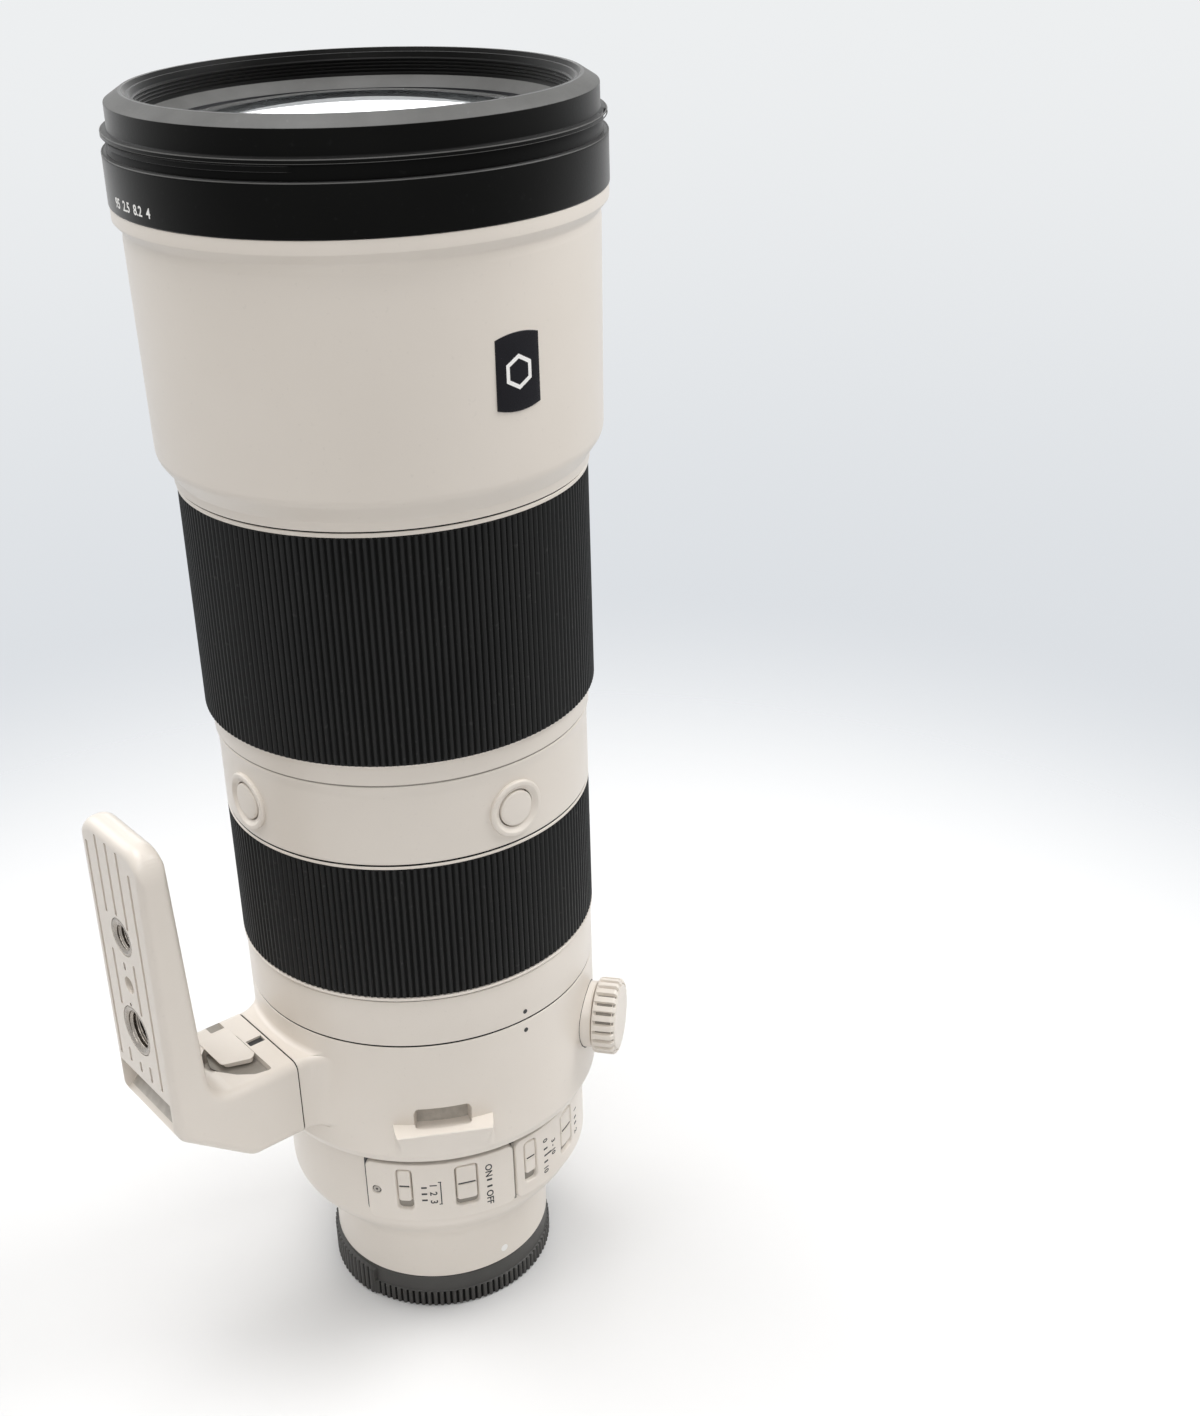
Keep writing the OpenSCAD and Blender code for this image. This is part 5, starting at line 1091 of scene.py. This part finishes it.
# Piece less all cutters; faces square to an axis are left flat
def cutPiece(piece, cutters, sharpAngle):
    tool = meshPiece("footCutter", *joined(cutters, loftFaces), "whitePaint")
    work = bmesh.new()
    work.from_mesh(tool.data)
    bmesh.ops.recalc_face_normals(work, faces=work.faces)
    work.to_mesh(tool.data)
    work.free()
    cut = piece.modifiers.new("cut", "BOOLEAN")
    cut.operation, cut.object, cut.solver, cut.use_self = "DIFFERENCE", tool, "EXACT", True
    evenNormals(piece)
    made = bpy.data.meshes.new_from_object(piece.evaluated_get(bpy.context.evaluated_depsgraph_get()))
    piece.modifiers.clear()
    piece.data = made
    made.set_sharp_from_angle(angle=math.radians(sharpAngle))
    facing = np.zeros(len(made.polygons) * 3)
    made.polygons.foreach_get("normal", facing)
    made.polygons.foreach_set("use_smooth", np.abs(facing.reshape(-1, 3)).max(1) < 0.9995)
    bpy.data.objects.remove(tool)


footPiece = meshPiece("footBody", *joined([footPoints(foot)], loftFaces), "whitePaint", foot["sharp"])
cutPiece(footPiece, footCutters(foot), foot["sharp"])
evenNormals(footPiece)
settle(footPiece, "tripod_foot", "white_paint", "tripod_foot")

# Thread inserts: turned bushes with a helical ridge in the bore, over dark floors of painted shade; sets are [height,
# bore, pitch].
# The profile is [beyond the bore, below the face]
inserts = {
    "face": 84.05, "depth": 6.0, "sets": ((140.9, 3.175, 1.27), (113.6, 4.7625, 1.59)), "around": 96, "rise": 80,
    "profile": [(1.5, 6.0), (1.5, 0.95), (1.85, 0.9), (1.85, 0.15), (1.7, 0), (0.95, 0), (0.3, 0.45)], "boreTop": 0.5,
    "shadeFloorMore": 0.6, "shadeFloorSpan": (-79.2, -78.6),
}


def insertBlock(s, z, bore, pitch):
    def helix(around, radius, out):
        hollow = 0.5 - 0.5 * np.cos(tau * out / pitch - around)
        return radius + (radius < bore + 0.1) * (0.45 - 0.55 * hollow ** 2), out
    rise = np.linspace(s["face"] - s["boreTop"], s["face"] - s["depth"], s["rise"])
    head = np.array(s["profile"]) * [1, -1] + [bore, s["face"]]
    profile = np.concatenate([head, np.column_stack([np.full(s["rise"], bore), rise])])
    return outOfBarrel(turned(profile, s["around"], helix), 180, z)


boreShadeFloors = [prismPoints(circleOutline(bore + inserts["shadeFloorMore"]) + [0, z], *inserts["shadeFloorSpan"], "x")
              for z, bore, _ in inserts["sets"]]
blockPiece("boreShadeFloors", boreShadeFloors, loftFaces, "blackInk", 30, "tripod_foot", "black_paint")
blockPiece("threadBushes", [insertBlock(inserts, *row) for row in inserts["sets"]], ringFaces, "brightChrome", 50,
           "tripod_foot", "chrome", "thread_inserts")

# Latch lever: a thin flat plate over the arm, and a smaller block under it in the recess
lever = {
    "plate": {"low": 94.94, "high": 95.3, "edge": 0.12, "outline": [
        (-64.7, 9.6, 1.2), (-64.8, -3.2, 1.6), (-57.3, -5.9, 1.6), (-55.8, -4.2, 0.9), (-55.8, 9.6, 1.0)]},
    "block": {"low": 93.7, "high": 95.1, "edge": 0.2, "outline": [
        (-62.2, 4.0, 1.0), (-63.9, -3.0, 1.4), (-57.3, -5.6, 1.4), (-56.2, -4.1, 0.8), (-56.4, 4.0, 1.0)]},
}


# Prism with rounded rims: each level's outline is drawn in by a quarter circle near both ends
def roundedPrism(s):
    outline, edge = roundedPath(s["outline"]), s["edge"]
    t = np.linspace(0, math.pi / 2, 5)
    insets = np.concatenate([edge * (1 - np.sin(t)), edge * (1 - np.cos(t))])
    levels = np.concatenate([s["low"] + edge * (1 - np.cos(t)), s["high"] - edge * (1 - np.sin(t))])
    flat = outline[:, None, :] - outlineNormals(outline)[:, None, :] * insets[None, :, None]
    return np.concatenate([flat, np.broadcast_to(levels[None, :, None], flat.shape[:2] + (1,))], -1)


blockPiece("latchLeverPlate", [roundedPrism(q) for q in lever.values()], loftFaces, "whitePlastic", 40,
           "foot_latch", "white_plastic", "latch_lever")
# Painted shade: a dark floor in the arm's first slot, and paler ones in the second slot and the lever's recess
armShadeFloors = {
    "firstSlotShade": (roundedBox(4.3, 2.5, 0.3, -52.8, 0.5), 94.3, "blackInk"),
    "secondSlotShade": (roundedBox(3.9, 4.1, 0.4, -58.0, 13.0), 94.0, "shadedPaint"),
    "recessShade": (roundedPath([(-64.6, 5.8, 0.5), (-66.4, 0.2, 2.5), (-63.4, -7.6, 4), (-59.8, -11.4, 2),
                                 (-55.6, -12.4, 0.8), (-55.6, 5.8, 0.5)]), 93.1, "shadedPaint"),
}
armShadeThick = 0.3
for name, (outline, top, finish) in armShadeFloors.items():
    blockPiece(name, [prismPoints(outline, top - armShadeThick, top, "z")], loftFaces, finish, 30,
               "tripod_foot", "black_paint")
# Painted shade: a grey plate on the slope of the heel's pocket; [height, x] corners carried across the foot
heelShadePlate = {"outline": [(95.1, -77.05), (94.8, -76.75), (89.2, -82.05), (89.5, -82.35)], "half": 12.7}
blockPiece("heelShadePlate", [prismPoints(np.array(heelShadePlate["outline"]), -heelShadePlate["half"], heelShadePlate["half"], "y")],
           loftFaces, "screwPaint", 30, "tripod_foot", "white_paint")
print("foot, bushes and lever made")

# Marks as thin raised ink, in rows of [kind, word or width, size or length, angle, height]
ink = {"half": 0.03, "swell": 0.05, "tickCorner": 0.08, "dotAround": 24}


# Mesh of a word, from Blender's own letters
def wordMesh(word, size):
    curve = bpy.data.curves.new("word", "FONT")
    curve.body, curve.size, curve.extrude, curve.offset = word, size, ink["half"], ink["swell"]
    curve.align_x, curve.align_y, curve.resolution_u = "CENTER", "CENTER", 3
    holder = bpy.data.objects.new("word", curve)
    scene.collection.objects.link(holder)
    bpy.context.view_layer.update()
    mesh = bpy.data.meshes.new_from_object(holder.evaluated_get(bpy.context.evaluated_depsgraph_get()))
    spots = np.zeros(len(mesh.vertices) * 3)
    mesh.vertices.foreach_get("co", spots)
    faces = [list(p.vertices) for p in mesh.polygons]
    bpy.data.objects.remove(holder)
    bpy.data.meshes.remove(mesh)
    return spots.reshape(-1, 3), faces


# All marks of one piece: words may be turned to run down the barrel, and each mark is bent round it
def markSet(rows, radius):
    points, faces, count = [], [], 0
    for kind, value, size, angle, z in rows:
        if kind in ("tick", "dot"):
            outline = circleOutline(value / 2, ink["dotAround"])
            if kind == "tick":
                outline = roundedBox(value, size, ink["tickCorner"], arcSteps=2)
            local, marks = joined([stacked(outline, ((1, -ink["half"]), (1, ink["half"])))], loftFaces)
        else:
            local, marks = wordMesh(value, size)
            if kind == "down":
                local = np.column_stack([local[:, 1], -local[:, 0], local[:, 2]])
        points.append(onBarrel(local, radius, angle, z))
        faces += [[i + count for i in face] for face in marks]
        count += len(local)
    return np.concatenate(points), faces


panelMarks = [
    ("tick", 1.5, 0.55, -128.6, 52.7), ("tick", 1.5, 0.55, -128.6, 50.6), ("tick", 1.5, 0.55, -128.6, 48.5),
    ("down", "1", 2.7, -125.4, 53.3), ("down", "2", 2.7, -125.4, 50.6), ("down", "3", 2.7, -125.4, 47.8),
    ("tick", 0.3, 7.6, -122.6, 50.6), ("tick", 0.9, 0.3, -122.9, 54.3), ("tick", 0.9, 0.3, -122.9, 46.9),
    ("down", "ON", 2.7, -104.8, 54.9), ("tick", 1.5, 0.6, -104.6, 51.8), ("tick", 1.5, 0.6, -104.6, 49.6),
    ("down", "OFF", 2.7, -104.8, 45.9),
    ("down", "0", 2.4, -79.4, 55.2), ("tick", 1.5, 0.55, -79.2, 52.4), ("tick", 3.0, 0.55, -78.0, 50.2),
    ("tick", 1.5, 0.55, -79.2, 48.0), ("down", "10", 2.4, -79.4, 45.4), ("down", "3 - 10", 2.2, -74.8, 51.0),
    ("down", "1", 2.4, -57.0, 54.2), ("tick", 1.5, 0.6, -57.0, 51.6), ("tick", 1.5, 0.6, -57.0, 49.6),
    ("down", "2", 2.4, -57.0, 46.8),
]
markSets = {
    "panelMarks": (panelMarks, 42.31, "blackInk", "lens_barrel", "black_paint"),
    "indexDotBody": ([("dot", 1.3, 0, -90, 104.2)], 46.31, "blackInk", "lens_barrel", "black_paint"),
    "mountDot": ([("dot", 2.2, 0, -90, 14.3)], 30.52, "whiteInk", "lens_barrel", "white_plastic"),
    "bandMarks": ([("level", "95  2.5  8.2  4", 3.0, 177.8, 308.0)], 55.76, "whiteInk", "lens_barrel", "white_plastic"),
    "indexDotCollar": ([("dot", 1.3, 0, -90, 98.5)], 46.31, "blackInk", "tripod_collar", "black_paint"),
}
for name, (rows, radius, finish, body, slot) in markSets.items():
    settle(meshPiece(name, *markSet(rows, radius), finish, 30), body, slot)
print("marks made")

# Floor: a pale disc that fades into the background, and keeps the shadow near the object
floorShape = {"rings": (0.001, 0.15, 0.4, 0.8, 1.2), "height": -0.02, "around": 96, "fadeFrom": 0.14, "fadeTo": 0.50,
              "colour": (0.72, 0.72, 0.72)}
wire, shader, coords = newFinish("floorFinish")
reach = wire.make("ShaderNodeVectorMath", {"operation": "LENGTH"}, {0: coords}, out=1)
fade = wire.between(reach, floorShape["fadeFrom"], floorShape["fadeTo"])
clear = wire.make("ShaderNodeBsdfTransparent")
diffuse = wire.make("ShaderNodeBsdfDiffuse", None, {"Color": rgba(floorShape["colour"])})
floorMix = wire.make("ShaderNodeMixShader", None, {0: fade, 1: diffuse, 2: clear})
wire.tree.nodes.remove(shader)
wire.tree.links.new(floorMix.socket, wire.tree.nodes["Material Output"].inputs[0])
floorPath = np.array([(reach / mm, floorShape["height"]) for reach in floorShape["rings"]])
floor = meshPiece("floor", *joined([turned(floorPath, floorShape["around"])], tubeFaces), "floorFinish")
floor.data.flip_normals()

# World: an even pale light, and a near-white background for the eye, for gloss and through glass
worldLight = {"colour": (1.0, 0.99, 0.98), "level": 0.44, "high": (0.85, 0.865, 0.875), "low": (0.715, 0.742, 0.775),
              "base": (0.91, 0.915, 0.92), "highTilt": (-0.44, -0.08), "baseTilt": (-0.64, -0.44)}
world = bpy.data.worlds.new("paleRoom")
world.use_nodes = True
scene.world = world
wire = Wire(world.node_tree)
seen = wire.make("ShaderNodeLightPath", out="Is Camera Ray")
for kind in ("Is Glossy Ray", "Is Transmission Ray"):
    seen = wire.math("MAXIMUM", seen, wire.make("ShaderNodeLightPath", out=kind))
lit = wire.make("ShaderNodeBackground", None, {"Color": rgba(worldLight["colour"]), "Strength": worldLight["level"]})
tilt = wire.make("ShaderNodeSeparateXYZ", None, {0: wire.make("ShaderNodeTexCoord", out=0)}, out=2)
sky = wire.blendColour(wire.between(tilt, *worldLight["highTilt"]), rgba(worldLight["low"]), rgba(worldLight["high"]))
sky = wire.blendColour(wire.between(tilt, *worldLight["baseTilt"]), rgba(worldLight["base"]), sky)
shown = wire.make("ShaderNodeBackground", None, {"Color": sky, "Strength": 1.0})
mixed = wire.make("ShaderNodeMixShader", None, {0: seen, 1: lit, 2: shown})
world.node_tree.links.new(mixed.socket, world.node_tree.nodes["World Output"].inputs[0])

# Soft lamps: each is a panel at a place, facing a point
lamps = {
    "ceilingPanel": {"place": (-0.22, 0.10, 1.55), "aim": (0, 0, 0.2), "size": (0.9, 0.9), "power": 15.4},
    "leftPanel": {"place": (-0.51, 1.27, 0.9), "aim": (0, 0, 0.2), "size": (0.9, 0.9), "power": 6.4},
    "rightPanel": {"place": (0.60, -0.30, 0.86), "aim": (0, 0, 0.35), "size": (0.5, 0.5), "power": 5.6},
    "frontPanel": {"place": (-0.42, -0.62, 0.75), "aim": (0, 0, 0.25), "size": (0.45, 0.45), "power": 2.0},
    "backPanel": {"place": (0.78, 1.22, 0.76), "aim": (0, 0, 0.32), "size": (0.8, 0.4), "power": 2.2},
}
for name, s in lamps.items():
    lampData = bpy.data.lights.new(name, "AREA")
    lampData.shape = "RECTANGLE"
    lampData.size, lampData.size_y = s["size"]
    lampData.energy = s["power"]
    lamp = bpy.data.objects.new(name, lampData)
    lamp.location = s["place"]
    lamp.rotation_mode = "QUATERNION"
    lamp.rotation_quaternion = (Vector(s["aim"]) - Vector(s["place"])).to_track_quat("-Z", "Y")
    scene.collection.objects.link(lamp)
print("floor, world and lamps made")
